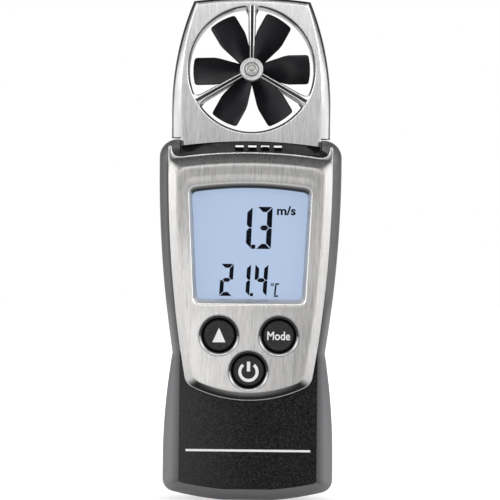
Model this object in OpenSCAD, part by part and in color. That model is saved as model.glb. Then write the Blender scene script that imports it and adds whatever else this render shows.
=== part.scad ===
// Pocket vane anemometer with a temperature display, three keys and a sliding battery cover.
// Millimetres. X runs to the right of the display, Y from the display to the back, Z up.
// The origin is the middle of the flat foot.

/* [Body] */
// Width of the body at its widest point
body_w = 46; // [45:0.5:52]
// Depth from the key bezels to the back
body_d = 25; // [25:0.5:30]
// Height of the shoulders above the foot
shoulder_h = 91; // [90:0.5:100]
// Drop from the shoulders to the widest point
shoulder_drop = 6.4; // [5:0.2:9]
// Radius of the shoulder corners
shoulder_r = 4.5; // [3:0.1:5]
// Width at the waist crease
waist_w = 38.5; // [38:0.5:42]
// Height of the waist crease
waist_h = 37.2; // [34:0.2:40]
// Width of the base at its widest point
base_w = 42.9; // [42:0.5:46]
// Height of the widest point of the base
base_h = 10.8; // [8:0.2:14]
// Radius of the arched bottom edge
bottom_r = 78; // [60:1:120]
// Width of the flat foot
foot_w = 12; // [8:0.5:18]
// Radius of the bottom corners
base_corner_r = 3.3; // [2:0.1:4.5]
// Wall of the two shells
wall = 1.8; // [1.4:0.1:2]
// Width of the rounded flank beside the face plate
flank_w = 2.3; // [1.8:0.1:2.8]
// Width of the flank beside the lower face at the waist
waist_flank_w = 1.9; // [1.4:0.1:2.4]
// Height of the bevel under the lower face
front_base_bevel = 2.2; // [1:0.1:3]
// Straight depth of the sides, each way from the joint of the shells
side_flat = 5.6; // [4:0.2:7]
// Width of the rounding toward the back
back_round = 6; // [4:0.2:6.4]
// Height of the rounding under the back
back_base_round = 4.6; // [3:0.2:5]
// Drop of the notch for the collar in the back below the shoulders
rear_notch_drop = 2.4; // [2:0.1:3]

/* [Face plate] */
// Thickness of the face plate
plate_t = 1.8; // [1.4:0.1:2.2]
// Width of the bevel round the face plate
plate_bevel = 2.4; // [1.5:0.1:2.8]
// Width of the plate at its tail corners
plate_tail_w = 31.6; // [29:0.2:33]
// Height of the tail corners below the power key
plate_tail_drop = 3.4; // [2:0.2:4]
// Drop of the tail arc below its corners
plate_tail_arc = 4.2; // [2:0.2:5]
// Drop of the plate's arched top edge below the shoulders
plate_top_drop = 3.2; // [2.6:0.1:4]
// Drop of the plate's ears below the shoulders
plate_ear_drop = 1.8; // [0.8:0.1:2]
// Radius of the corners of the plate's ears
plate_corner_r = 2; // [1:0.1:2.4]
// Width of the notch for the collar in the top of the plate
plate_notch_w = 35.8; // [35.6:0.1:37]
// Radius of the arched edges at the neck
arch_r = 122; // [100:1:160]

/* [Display] */
// Distance of the display's top corners from the sides of the body
display_side = 8.35; // [8:0.05:10]
// Narrowing of the display toward its bottom corners, on each side
display_taper = 1.45; // [0.5:0.05:2]
// Height of the visible display at its corners
display_h = 27.5; // [24:0.5:28]
// Rise of the display's arched top edge
display_arch = 1.2; // [0.4:0.1:1.6]
// Drop of the display's top corners below the shoulders
display_drop = 12.7; // [12.5:0.1:16]
// Width of the sloping wall round the display
display_slope_w = 1.1; // [0.6:0.1:1.4]
// Thickness of the window
window_t = 0.95; // [0.8:0.05:1.1]
// Thickness of the window's adhesive gasket
gasket_t = 0.15; // [0.1:0.05:0.2]
// Thickness of the liquid crystal cell
lcd_t = 2; // [1.4:0.1:2]
// Thickness of the backlight panel
backlight_t = 1; // [0.8:0.1:1]
// Thickness of the circuit board
board_t = 1.6; // [1:0.1:1.6]
// Wall of the holder round the liquid crystal cell
holder_wall = 0.9; // [0.7:0.1:1]
// Reach of the liquid crystal cell past the visible display
lcd_edge = 1.2; // [1:0.1:1.3]
// Reach of the window past the visible display
window_lap = 1; // [0.6:0.1:1.2]
// Height of the elastic connector under the cell
connector_h = 2; // [1.6:0.1:2.4]
// Reach of the board below the power key
board_tail = 6; // [5:0.2:7]
// Distance of the board from the sides of the lower face
board_margin = 2.6; // [2.4:0.1:3.4]
// Width of the microcontroller
chip_w = 8; // [6:0.5:10]

/* [Keys] */
// Diameter of a key
key_d = 8.2; // [7:0.1:9]
// Outer diameter of a key bezel
bezel_d = 10.4; // [10.2:0.1:11]
// Height of a bezel over the face plate
bezel_proud = 0.2; // [0.1:0.05:0.4]
// Distance of the two upper keys from the middle
key_x = 7.5; // [7:0.1:8.4]
// Drop of the upper keys below the display
key_drop = 9.1; // [8.6:0.1:10]
// Drop of the power key below the upper keys
power_drop = 8.84; // [8.2:0.1:10]
// Travel of a key
key_travel = 0.6; // [0.3:0.1:0.8]
// Depth of a key's crown below the face plate
key_sink = 0.35; // [0.2:0.05:0.6]
// Width of the flange that holds a key behind the shell
key_flange_w = 0.7; // [0.5:0.1:0.9]
// Width of a switch on the board
switch_w = 4.4; // [3.6:0.2:5]

/* [Vane head] */
// Width of the vane head
head_w = 40.2; // [39.6:0.2:44]
// Height of the vane head
head_h = 35.5; // [35:0.5:40]
// Gap between the shoulders and the vane head
neck_gap = 0.5; // [0.3:0.1:1]
// Depth of the head in front of the joint of its frames
head_front_d = 7; // [6.6:0.1:8]
// Depth of the head behind the joint of its frames
head_rear_d = 6; // [5.8:0.1:7]
// Straight height of the head's sides
head_straight_h = 7; // [5:0.5:9]
// Radius of the head's sides
head_side_r = 73; // [66:1:90]
// Radius of the head's top edge
head_top_r = 110; // [90:1:140]
// Depth of the rounded bevel round the faces of the head
head_round = 2; // [1:0.1:2.2]
// Width of the bevel at the bottom of the head's sides
head_side_bevel = 3.2; // [2:0.1:3.4]
// Width of the bevel at the head's upper corners
head_corner_bevel = 0.7; // [0.4:0.1:1.4]
// Width of the bevel under the head's top edge
head_top_bevel = 1.3; // [0.8:0.1:1.6]
// Diameter of the air duct
duct_d = 31.5; // [30.8:0.1:32]
// Height of the hub above the bottom of the head
hub_rise = 17.33; // [17.2:0.05:17.6]
// Diameter of a bearing hub
hub_d = 6; // [5.4:0.1:7]
// Length of a bearing hub
hub_l = 2.9; // [2.4:0.1:2.9]
// Number of struts that carry a hub
strut_count = 3; // [3:1:4]
// Width of a strut at the duct
strut_w = 2; // [1.4:0.1:2.4]
// Width of a strut at the hub
strut_hub_w = 1.4; // [1:0.1:2]
// Depth of a strut
strut_d = 2.4; // [1.6:0.1:2.4]
// Width of the groove along a strut's face
strut_groove_w = 0.5; // [0.3:0.1:0.6]
// Width of the lip round the mouths of the duct
duct_lip = 0.6; // [0.3:0.1:0.8]

/* [Impeller] */
// Diameter over the blade tips
tip_d = 29.7; // [28:0.1:30.4]
// Number of blades
blade_count = 6; // [4:1:8]
// Pitch of a blade from the plane of rotation
blade_pitch = 40; // [30:1:50]
// Chord of a blade outside its waist
blade_chord = 9.1; // [8:0.1:10]
// Chord of a blade at the hub
blade_root_chord = 3.6; // [3:0.1:4]
// Radius at which a blade reaches its full chord
blade_waist_r = 9; // [7:0.2:11]
// Radius of the corners at a blade's tip
blade_corner_r = 1.6; // [0.8:0.1:2]
// Thickness of a blade
blade_t = 0.7; // [0.5:0.1:1]
// Turn of the first blade from the horizontal
blade_turn = 1.5; // [0:0.5:30]
// Diameter of the impeller's hub
impeller_hub_d = 5.4; // [5:0.1:6.4]
// Length of the impeller's hub
impeller_hub_l = 5.6; // [5:0.1:6]
// Diameter of the axle
axle_d = 1; // [0.8:0.1:1.4]
// Diameter of a bearing
bearing_d = 3.2; // [2.8:0.1:3.8]
// Diameter of the speed pickup in the wall of the duct
pickup_d = 2.2; // [1.6:0.1:2.4]
// Length of the speed pickup
pickup_l = 5; // [4:0.2:6]

/* [Sensor collar] */
// Width of the collar
collar_w = 35.3; // [34.6:0.1:35.4]
// Depth of the collar in front of the joint of the shells
collar_front_d = 6.2; // [5.6:0.1:6.4]
// Depth of the collar behind the joint of the shells
collar_rear_d = 5.4; // [5:0.1:5.6]
// Drop of the collar's arched top edge below the shoulders
collar_top_drop = 0.4; // [0.2:0.1:0.6]
// Number of sensor slots
slot_count = 4; // [2:1:5]
// Width of a sensor slot
slot_w = 2.1; // [1.4:0.1:2.5]
// Height of a sensor slot
slot_h = 1.8; // [1.2:0.1:2]
// Spacing of the sensor slots
slot_pitch = 3.25; // [3:0.05:3.5]
// Middle of the row of sensor slots, to the right of the hub
slot_x = 2; // [-3:0.1:3]
// Drop of the slots' top edge below the shoulders
slot_drop = 1.05; // [0.9:0.05:1.2]
// Drop of the sensor board below the top of the slots
sensor_drop = 0.65; // [0.4:0.05:0.8]
// Thickness of the sensor board
sensor_t = 1.2; // [0.8:0.1:1.4]
// Height of the flange under the neck
collar_flange_h = 2.2; // [1.6:0.1:2.4]
// Distance of a post's middle from the side of the head
post_side = 4.8; // [4.4:0.1:5.2]
// Height of a post's screw above the bottom of the head
post_screw_h = 2.6; // [2.4:0.1:2.8]
// Width of a post that stands in the head
post_w = 3.8; // [3.6:0.1:4]
// Depth of a post that stands in the head
post_d = 5.2; // [4.4:0.2:5.6]

/* [Battery bay] */
// Diameter of a cell
cell_d = 10.5; // [10:0.1:10.6]
// Length of a cell over its button
cell_l = 44.5; // [43:0.5:45.5]
// Thickness of the battery cover
cover_t = 1.8; // [1.6:0.1:2]
// Width of a runner on the battery cover
runner_w = 1; // [0.6:0.1:1.2]
// Thickness of a runner on the battery cover
runner_t = 0.9; // [0.6:0.1:1]
// Space for a contact leaf at each end of a cell
contact_h = 2.5; // [2:0.1:3]
// Height of the floor of the bay above the foot
bay_rise = 5.5; // [5:0.1:6.5]
// Wall round the bay inside the housing
bay_wall = 1.2; // [1:0.1:1.2]
// Reach of the cover over the top of the bay
cover_lap = 2.4; // [2:0.1:3]
// Width of a contact leaf
leaf_w = 6; // [4:0.2:7]
// Thickness of the contact strip
leaf_t = 0.35; // [0.25:0.05:0.4]
// Diameter of a cell's button
button_d = 3.8; // [3.6:0.1:4]
// Number of thumb grooves on the battery cover
groove_count = 5; // [3:1:7]
// Spacing of the thumb grooves
groove_pitch = 2; // [1.6:0.1:2.4]

/* [Fasteners] */
// Diameter of a housing screw
screw_d = 2; // [1.8:0.1:2.2]
// Diameter of a housing screw's head
screw_head_d = 3.8; // [3.2:0.1:4]
// Height of a screw's head
screw_head_t = 1.4; // [1:0.1:1.6]
// Depth of the sunk holes for the housing screws
screw_sink = 5; // [4:0.2:6]
// Depth of the sunk holes for the head screws
head_screw_sink = 2.2; // [1.8:0.1:2.4]
// Wall round a screw in its boss
boss_wall = 1.2; // [1:0.1:1.3]
// Depth of solid boss in front of a screw
boss_floor = 2.4; // [2:0.1:3]
// Distance of the lower housing screws from the sides of the base
base_screw_side = 5; // [4.6:0.1:6]
// Height of the lower housing screws
base_screw_h = 12; // [11:0.2:14]
// Distance of the upper head screws from the middle
head_screw_x = 13.2; // [12.8:0.1:13.4]
// Height of the upper head screws above the hub
head_screw_rise = 13; // [12.8:0.1:13.4]
// Diameter of a board screw
board_screw_d = 1.6; // [1.4:0.1:1.8]
// Length of a board screw's thread in its boss
board_screw_l = 2.4; // [2:0.1:2.4]
// Diameter of the eyelet for a wrist strap
eyelet_d = 3; // [2.4:0.1:3.2]
// Distance of the eyelet from the side of the base
eyelet_side = 4.9; // [4.5:0.1:5.5]
// Distance of the eyelet behind the joint of the shells
eyelet_y = 4.6; // [4:0.1:5]
// Height of the floor of the eyelet's pocket above the foot
eyelet_floor = 5.2; // [4.6:0.1:6]
// Wall round the eyelet's pocket
eyelet_wall = 1.2; // [1:0.1:1.6]

/* [Clearances] */
// Gap round a fixed piece in its seat
seat_gap = 0.1; // [0.05:0.05:0.15]
// Gap round a moving piece
slide_gap = 0.3; // [0.2:0.05:0.3]
// Gap round the axle in its bearings
axle_gap = 0.05; // [0.02:0.01:0.08]
// Space past the tip of a screw
tip_gap = 0.4; // [0.2:0.1:0.5]

/* [Hidden] */

$fn = 64;
eps = 0.01;
far = 200;

// Depths of the layers, from the front to the back
plate_y = -body_d / 2 + bezel_proud;
face_y = plate_y + plate_t;
inner_y = face_y + wall;
lcd_y = inner_y + seat_gap;
backlight_y = lcd_y + lcd_t + seat_gap / 2;
board_y = backlight_y + backlight_t + seat_gap;
board_back_y = board_y + board_t;
back_y = body_d / 2;
cover_y = back_y - cover_t;
cell_y = cover_y - slide_gap - cell_d / 2;
bay_y = cell_y - cell_d / 2 - slide_gap;
plate_rim = plate_t / 6;

// Heights
widest_h = shoulder_h - shoulder_drop;
display_top = shoulder_h - display_drop;
display_bottom = display_top - display_h;
key_h = display_bottom - key_drop;
power_h = key_h - power_drop;
tail_h = power_h - plate_tail_drop;
plate_top = shoulder_h - plate_top_drop;
notch_h = plate_top - plate_t / 3;
rear_notch_h = shoulder_h - rear_notch_drop;
cavity_top = notch_h - wall;
collar_top = shoulder_h - collar_top_drop;
collar_bottom = cavity_top - seat_gap - collar_flange_h;
slot_top = shoulder_h - slot_drop;
sensor_top = slot_top - sensor_drop;
sensor_bottom = collar_bottom - sensor_drop;
lcd_bottom = display_bottom - lcd_edge;
lcd_top = display_top + display_arch + lcd_edge;
board_top = collar_bottom - sensor_drop;
board_bottom = power_h - board_tail;
head_base = shoulder_h + neck_gap;
head_top = head_base + head_h;
hub_h = head_base + hub_rise;
arc_h = head_base + head_straight_h;
bay_bottom = bay_rise;
bay_top = bay_bottom + cell_l + 2 * contact_h;
cell_h = bay_bottom + contact_h;
cover_top = bay_top + cover_lap;

// Widths and half widths
display_top_w = body_w - 2 * display_side;
display_bottom_w = display_top_w - 2 * display_taper;
cell_x = cell_d / 2 + slide_gap;
bay_half = cell_x + cell_d / 2 + slide_gap + seat_gap;
cover_half = bay_half + slide_gap;
duct_r = duct_d / 2;
face_half = waist_w / 2 - waist_flank_w;
lcd_half = display_top_w / 2 + lcd_edge / 2;
holder_half = lcd_half + seat_gap + holder_wall;
plate_half = body_w / 2 - flank_w;

// Places of the screws and posts
boss_d = screw_d + 2 * boss_wall;
head_boss_d = screw_head_d + 2 * boss_wall;
board_boss_d = board_screw_d + 2 * boss_wall;
top_screw = [holder_half + seat_gap + boss_d / 2, display_top + display_arch];
base_screw = [base_w / 2 - base_screw_side, base_screw_h];
board_tail_half = face_half - board_margin;
board_screw = [board_tail_half - board_boss_d / 2 - slide_gap, board_bottom + board_boss_d * 0.75];
head_post = [head_w / 2 - post_side, head_base + post_screw_h];
head_screw = [head_screw_x, hub_h + head_screw_rise];
eyelet = [base_w / 2 - eyelet_side, eyelet_y];
eyelet_pocket_h = eyelet_d;

// Depths of the screws
screw_seat_y = back_y - screw_sink;
screw_tip_y = inner_y + boss_floor;
head_screw_seat_y = head_rear_d - head_screw_sink;
head_screw_tip_y = -head_front_d + boss_floor;
board_screw_tip_y = board_y - board_screw_l;

function arc_radius(rise, run) = (rise * rise + run * run) / (2 * rise);
function sagitta(r, d) = r - sqrt(r * r - d * d);
function blend(a, b, k) = a + (b - a) * k;
function bend(a) = 1 - cos(a);
function steps(from, to, n) = [for (i = [0 : n]) from + (to - from) * i / n];

// The right half of an outline joined to its mirror image; a point on the middle line is kept once
function mirrored(half) =
  let (n = len(half))
  let (from = half[n - 1][0] < eps ? n - 2 : n - 1)
  let (to = half[0][0] < eps ? 1 : 0)
  concat(half, [for (i = [from : -1 : to]) [-half[i][0], half[i][1]]]);

function corner(c, r, from, to, n) = [for (a = steps(from, to, n)) c + r * [cos(a), sin(a)]];

upper_r = arc_radius((body_w - waist_w) / 2, widest_h - waist_h);
lower_r = arc_radius((base_w - waist_w) / 2, waist_h - base_h);
plate_r = arc_radius(plate_half - plate_tail_w / 2, widest_h - tail_h);
tail_r = arc_radius(plate_tail_arc, plate_tail_w / 2);

// Half widths of the silhouette and of the plate at a height
function upper_half(z) = body_w / 2 - sagitta(upper_r, max(widest_h - z, 0));
function lower_half(z) = base_w / 2 - sagitta(lower_r, max(z - base_h, 0));
function plate_side(z) = plate_half - sagitta(plate_r, max(widest_h - z, 0));
function bottom_z(x) = max(sagitta(bottom_r, x) - sagitta(bottom_r, foot_w / 2), 0);
function head_side(z) = head_w / 2 - sagitta(head_side_r, max(z - arc_h, 0));
function head_edge(x) = head_top - sagitta(head_top_r, x);
function head_bevel(z) = blend(head_side_bevel, head_corner_bevel, (z - head_base) / head_h);
function neck_arch(top, x) = top - sagitta(arch_r, x);

// Outline of the body, drawn in from the silhouette above the waist and toward the flat lower face below it
function body_outline(inset, top, r, share, low_inset, lift) =
  let (half = blend(base_w / 2, face_half, share) - low_inset)
  let (c = base_corner_r)
  let (lean = asin((half - c) / bottom_r))
  let (meet = half - c + c * sin(lean))
  let (centre = [half - c, bottom_z(meet) + lift + c * cos(lean)])
  let (under = [for (x = steps(foot_w / 2, meet, 5)) [x, bottom_z(x) + lift]])
  let (turn = corner(centre, c, lean - 75, 0, 5))
  let (lower = [for (h = steps(max(centre[1] + 1, base_h), waist_h, 8))
    [blend(lower_half(h), face_half, share) - low_inset, h]])
  let (upper = [for (i = [1 : 10]) let (h = blend(waist_h, top - r, i / 10)) [upper_half(h) - inset, h]])
  let (bend_centre = [upper_half(top - r) - inset - r, top - r])
  let (shoulder = corner(bend_centre, r, 15, 90, 5))
  mirrored(concat(under, turn, lower, upper, shoulder));

// Outline of the face plate, from the middle of its tail up to its ears
function plate_outline(inset) =
  let (top = shoulder_h - plate_ear_drop - inset * 0.4)
  let (r = plate_corner_r)
  let (low = tail_h + inset * 0.5)
  let (tail = [for (x = steps(0, plate_tail_w / 2 - inset - 0.8, 6))
    [x, tail_h - plate_tail_arc + inset * 0.9 + sagitta(tail_r, x)]])
  let (side = [for (h = steps(low + 1, top - r, 8)) [plate_side(h) - inset, h]])
  let (ear = corner([plate_side(top - r) - inset - r, top - r], r, 20, 90, 4))
  mirrored(concat(tail, side, ear));

// Outline of the visible display, grown sideways and up and down
function display_outline(side, ends) =
  let (top = display_top + ends)
  let (half = display_top_w / 2 + side)
  let (arch = arc_radius(display_arch, half))
  let (low = [display_bottom_w / 2 + side, display_bottom - ends])
  mirrored(concat([low], [for (x = steps(half, 0, 6)) [x, top + display_arch - sagitta(arch, x)]]));

// The notch for the collar in the top of the plate at a depth, with its arched and bevelled floor
function plate_notch(y) =
  let (half = plate_notch_w / 2)
  let (top = plate_top - plate_bevel * (face_y - y) / plate_t)
  mirrored(concat([for (x = steps(0, half, 6)) [x, neck_arch(top, x)]], [[half, shoulder_h + 5]]));

// The sloping wall round the display at a depth
function display_slope(y) =
  let (side = display_slope_w * (face_y - y) / plate_t)
  display_outline(side, side / 2);

// Outline of the vane head with a share of its bevel taken off
function head_outline(share) =
  let (reach = head_edge(head_side(head_top - 1)))
  let (foot = [[head_w / 2 - share * head_bevel(head_base), head_base]])
  let (side = [for (h = steps(arc_h, reach, 10)) let (drop = head_top_bevel * (h - arc_h) / (reach - arc_h))
    [head_side(h) - share * head_bevel(h), h - share * drop]])
  let (top_half = head_side(reach) - share * head_corner_bevel)
  let (over = [for (k = steps(0.96, 0, 6))
    [top_half * k, head_edge(head_side(reach) * k) - share * head_top_bevel]])
  mirrored(concat(foot, side, over));

// Outline of the tongue under the vane head, from the collar up into the head
function tongue_outline(share) =
  let (half = min(collar_w / 2, head_w / 2 - share * head_bevel(head_base) - seat_gap))
  let (arc = [for (x = steps(0, half, 6)) [x, neck_arch(collar_top + seat_gap / 2, x)]])
  mirrored(concat(arc, [[half, head_base + head_round]]));

// A flat piece between two depths, drawn as seen from the front
module slab(y0, y1) {
  translate([0, y1, 0]) rotate([90, 0, 0]) linear_extrude(y1 - y0) children();
}

// A round bar along the depth; the first diameter is at the front
module rod(at, d0, d1, y0, y1) {
  translate([at[0], y1, at[1]]) rotate([90, 0, 0]) cylinder(h = y1 - y0, d1 = d1, d2 = d0);
}

module box(x0, x1, y0, y1, z0, z1) {
  translate([x0, y0, z0]) cube([x1 - x0, y1 - y0, z1 - z0]);
}

module both_sides() {
  children();
  mirror([1, 0, 0]) children();
}

// A skin over outlines of equal length at growing depths
module loft(outlines, depths) {
  n = len(outlines[0]);
  last = len(outlines) - 1;
  points = [for (k = [0 : last]) for (p = outlines[k]) [p[0], depths[k], p[1]]];
  sides = [for (k = [0 : last - 1]) for (i = [0 : n - 1]) let (j = (i + 1) % n)
    each [[k * n + i, k * n + j, (k + 1) * n + j], [k * n + i, (k + 1) * n + j, (k + 1) * n + i]]];
  ends = [[for (i = [n - 1 : -1 : 0]) i], [for (i = [0 : n - 1]) last * n + i]];
  polyhedron(points, concat(sides, ends));
}

// Top of a half shell, or of its cavity under the neck
function shell_top(inset, a) = inset > 0 ? cavity_top : shoulder_h - flank_w * bend(a);

// Radius of the shoulders, smaller in the cavity so that the wall keeps its width
function shell_corner(inset) = shoulder_r - inset;

// Front half: straight sides, then a rounding up to the faces
module front_form(inset, end_y) {
  depth = -face_y - inset;
  flat = min(side_flat, depth - 2);
  turns = [90, 75, 60, 45, 30, 15, 0];
  outlines = [for (a = turns) body_outline(inset + flank_w * bend(a), shell_top(inset, a),
    shell_corner(inset), bend(a), inset, inset + front_base_bevel * bend(a))];
  depths = [for (a = turns) -flat - (depth - flat) * sin(a)];
  loft(concat(outlines, [outlines[6]]), concat(depths, [end_y]));
}

// Rear half: straight sides, then a rounding to the flat back
module rear_form(inset, start_y) {
  depth = back_y - inset;
  turns = [0, 15, 30, 45, 60, 75, 90];
  outlines = [for (a = turns) body_outline(inset + back_round * bend(a), shell_top(inset, a),
    shell_corner(inset), 0, inset + back_round * bend(a), inset + back_base_round * bend(a))];
  depths = [for (a = turns) side_flat + (depth - side_flat) * sin(a)];
  loft(concat([outlines[0]], outlines), concat([start_y], depths));
}

module collar_passage() {
  half = collar_w / 2 + seat_gap;
  box(-half, half, -collar_front_d - seat_gap, collar_rear_d + seat_gap, cavity_top - 1, shoulder_h + 5);
}

module front_shell() {
  notch_half = plate_notch_w / 2;
  key_hole_d = key_d + 2 * slide_gap;
  thread_d = screw_d + seat_gap;
  board_thread_d = board_screw_d + seat_gap;
  window_reach = window_lap + seat_gap;
  color("#2b2c2e") difference() {
    front_form(0, 0);
    difference() {
      front_form(wall, 1);
      both_sides() rod(top_screw, boss_d, boss_d, inner_y - 1, 0);
      both_sides() rod(base_screw, boss_d, boss_d, inner_y - 1, 0);
      both_sides() rod(board_screw, board_boss_d, board_boss_d, inner_y - 1, board_y);
    }
    box(-notch_half, notch_half, -far, 1, notch_h, far);
    collar_passage();
    slab(face_y - 1, face_y + window_t + gasket_t) polygon(display_outline(window_reach, window_reach));
    slab(face_y - 1, inner_y + 1) polygon(display_outline(seat_gap, seat_gap));
    for (at = key_places()) rod(at, key_hole_d, key_hole_d, face_y - 1, inner_y + 1);
    both_sides() rod(top_screw, thread_d, thread_d, screw_tip_y - tip_gap, 1);
    both_sides() rod(base_screw, thread_d, thread_d, screw_tip_y - tip_gap, 1);
    both_sides() rod(board_screw, board_thread_d, board_thread_d, board_screw_tip_y - tip_gap, board_y + 1);
  }
}

// Space of the sliding cover: its panel and the two grooves for its runners
module cover_seat() {
  half = cover_half + slide_gap;
  box(-half, half, cover_y - seat_gap, far, -far, cover_top + slide_gap);
  groove = cover_half + runner_w + slide_gap;
  box(-groove, groove, cover_y - seat_gap, cover_y + runner_t + slide_gap, -far, cover_top + slide_gap);
}

module rear_shell() {
  bay_block_half = cover_half + runner_w + bay_wall;
  notch_half = plate_notch_w / 2;
  pocket_x = eyelet[0] - eyelet_d / 2 - eyelet_wall / 3;
  pocket_half = eyelet_d / 2 + eyelet_wall / 2;
  pocket_top = eyelet_floor + eyelet_pocket_h;
  color("#2b2c2e") difference() {
    union() {
      rear_form(0, 0);
      box(-bay_half - bay_wall, bay_half + bay_wall, bay_y - bay_wall, 1,
        bay_bottom - bay_wall, bay_top + bay_wall);
    }
    difference() {
      rear_form(wall, -1);
      box(-bay_block_half, bay_block_half, -1, far, -1, cover_top + bay_wall + slide_gap);
      both_sides() rod(top_screw, head_boss_d, head_boss_d, -1, back_y);
      both_sides() rod(base_screw, head_boss_d, head_boss_d, -1, back_y);
      box(pocket_x - eyelet_wall, far, -1, back_y, -1, pocket_top + eyelet_wall);
    }
    box(-bay_half, bay_half, bay_y, far, bay_bottom, bay_top);
    cover_seat();
    box(-notch_half, notch_half, 0, far, rear_notch_h, far);
    collar_passage();
    both_sides() screw_hole(top_screw);
    both_sides() screw_hole(base_screw);
    translate([eyelet[0], eyelet[1], -1]) cylinder(h = eyelet_floor + 2, d = eyelet_d);
    box(pocket_x, far, eyelet[1] - pocket_half, eyelet[1] + pocket_half, eyelet_floor, pocket_top);
  }
}

module screw_hole(at) {
  shank_d = screw_d + 3 * seat_gap;
  sunk_d = screw_head_d + 3 * seat_gap;
  rod(at, shank_d, shank_d, -1, back_y);
  rod(at, sunk_d, sunk_d, screw_seat_y, far);
}

module face_plate() {
  color("#b4b6b8") difference() {
    loft([for (inset = [plate_bevel, 0, 0]) plate_outline(inset)], [plate_y, face_y - plate_rim, face_y]);
    loft([for (y = [plate_y - 1, face_y + 1]) plate_notch(y)], [plate_y - 1, face_y + 1]);
    loft([for (y = [plate_y - 1, face_y + 1]) display_slope(y)], [plate_y - 1, face_y + 1]);
    for (at = key_places()) rod(at, bezel_d + seat_gap, bezel_d + seat_gap, plate_y - 1, face_y + 1);
  }
}

module display_window() {
  color("#dfe8f0", 0.35) slab(face_y, face_y + window_t) polygon(display_outline(window_lap, window_lap));
}

module window_gasket() {
  color("#1a1a1a") difference() {
    slab(face_y + window_t, face_y + window_t + gasket_t) polygon(display_outline(window_lap, window_lap));
    slab(face_y, inner_y) polygon(display_outline(seat_gap, seat_gap));
  }
}

module lcd_panel() {
  color("#b2c4de") box(-lcd_half, lcd_half, lcd_y, lcd_y + lcd_t, lcd_bottom, lcd_top);
}

module lcd_holder() {
  gap = seat_gap;
  reach = gap + holder_wall;
  color("#e6e6e2") difference() {
    box(-holder_half, holder_half, lcd_y, board_y - eps, lcd_bottom - reach, lcd_top + reach);
    box(-lcd_half - gap, lcd_half + gap, -far, far, lcd_bottom - gap, lcd_top + gap);
  }
}

module lcd_connector() {
  half = display_bottom_w / 2;
  low = lcd_bottom + seat_gap;
  color("#3a3a3a") box(-half, half, lcd_y + lcd_t, board_y, low, low + connector_h);
}

module backlight_panel() {
  low = lcd_bottom + connector_h + slide_gap;
  color("#f2f4f6") box(-lcd_half, lcd_half, backlight_y, backlight_y + backlight_t, low, lcd_top);
}

module circuit_board() {
  board_hole_d = board_screw_d + 3 * seat_gap;
  step_h = key_h + key_d / 3;
  half = [[board_tail_half, board_bottom], [board_tail_half, step_h],
    [holder_half, step_h + holder_half - board_tail_half], [holder_half, board_top]];
  color("#1e5b3a") difference() {
    slab(board_y, board_back_y) polygon(mirrored(half));
    both_sides() rod(board_screw, board_hole_d, board_hole_d, -far, far);
  }
}

module microcontroller() {
  half = chip_w / 2;
  chip_t = chip_w * 0.15;
  chip_h = (display_top + display_bottom) / 2;
  color("#202020") box(-half, half, board_back_y, board_back_y + chip_t, chip_h - half, chip_h + half);
}

function key_places() = [[-key_x, key_h], [key_x, key_h], [0, power_h]];

// A switch reaches forward from the board to just behind its key
switch_body_t = switch_w * 0.2;
switch_y = board_y - switch_w * 0.32;

module key_switches() {
  half = switch_w / 2;
  color("#c8c8c4") for (at = key_places()) {
    box(at[0] - half, at[0] + half, board_y - switch_body_t, board_y, at[1] - half, at[1] + half);
    rod(at, half, half, switch_y, board_y - switch_body_t + eps);
  }
}

module key_bezels() {
  bore = key_d + 2 * slide_gap;
  crest_d = bezel_d - 2 * bezel_proud;
  color("#d8dadc") for (at = key_places()) difference() {
    union() {
      rod(at, bezel_d, bezel_d, plate_y, face_y);
      rod(at, crest_d, bezel_d, plate_y - bezel_proud, plate_y);
    }
    rod(at, bore, bore, plate_y - 1, face_y + 1);
    rod(at, crest_d - seat_gap, bore, plate_y - bezel_proud - eps, plate_y + plate_t / 2);
  }
}

// A key: a domed cap, a flange behind the shell's wall and a stem over its switch
module key(at) {
  cap_y = plate_y + key_sink;
  dome_r = key_d * 2.7;
  flange_y = inner_y + slide_gap;
  flange_d = key_d + 2 * key_flange_w;
  stem_d = switch_w * 0.7;
  stem_y = switch_y - key_travel - seat_gap / 2;
  color("#141416") union() {
    intersection() {
      rod(at, key_d, key_d, cap_y, flange_y + eps);
      translate([at[0], cap_y + dome_r, at[1]]) sphere(r = dome_r, $fn = 128);
    }
    rod(at, flange_d, flange_d, flange_y, flange_y + key_flange_w);
    rod(at, stem_d, stem_d, flange_y, stem_y);
  }
}

module up_key() {
  key(key_places()[0]);
}

module mode_key() {
  key(key_places()[1]);
}

module power_key() {
  key(key_places()[2]);
}

// Space of the sensor board inside the collar, open below
module sensor_space(gap) {
  half = slot_count * slot_pitch / 2 + slot_w / 2 + gap;
  box(slot_x - half, slot_x + half, -sensor_t - gap, gap, sensor_bottom - gap, sensor_top + gap);
}

module collar_block(half, y0, y1) {
  slab(y0, y1) polygon(mirrored(concat([[half, collar_bottom]],
    [for (x = steps(half, 0, 8)) [x, neck_arch(collar_top, x)]])));
}

module sensor_collar() {
  half = collar_w / 2;
  shank_d = screw_d + 3 * seat_gap;
  flange_w = collar_flange_h / 2;
  flange_half = half + flange_w / 2;
  color("#1c1c1e") difference() {
    union() {
      collar_block(half, -collar_front_d, collar_rear_d);
      box(-flange_half, flange_half, -collar_front_d - flange_w, collar_rear_d + flange_w, collar_bottom,
        cavity_top - seat_gap);
      both_sides() head_posts(0);
    }
    for (i = [0 : slot_count - 1])
      translate([slot_x + (i - (slot_count - 1) / 2) * slot_pitch, 0, 0])
        box(-slot_w / 2, slot_w / 2, -far, far, slot_top - slot_h, slot_top);
    sensor_space(seat_gap);
    both_sides() rod(head_post, shank_d, shank_d, -far, far);
  }
}

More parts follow.
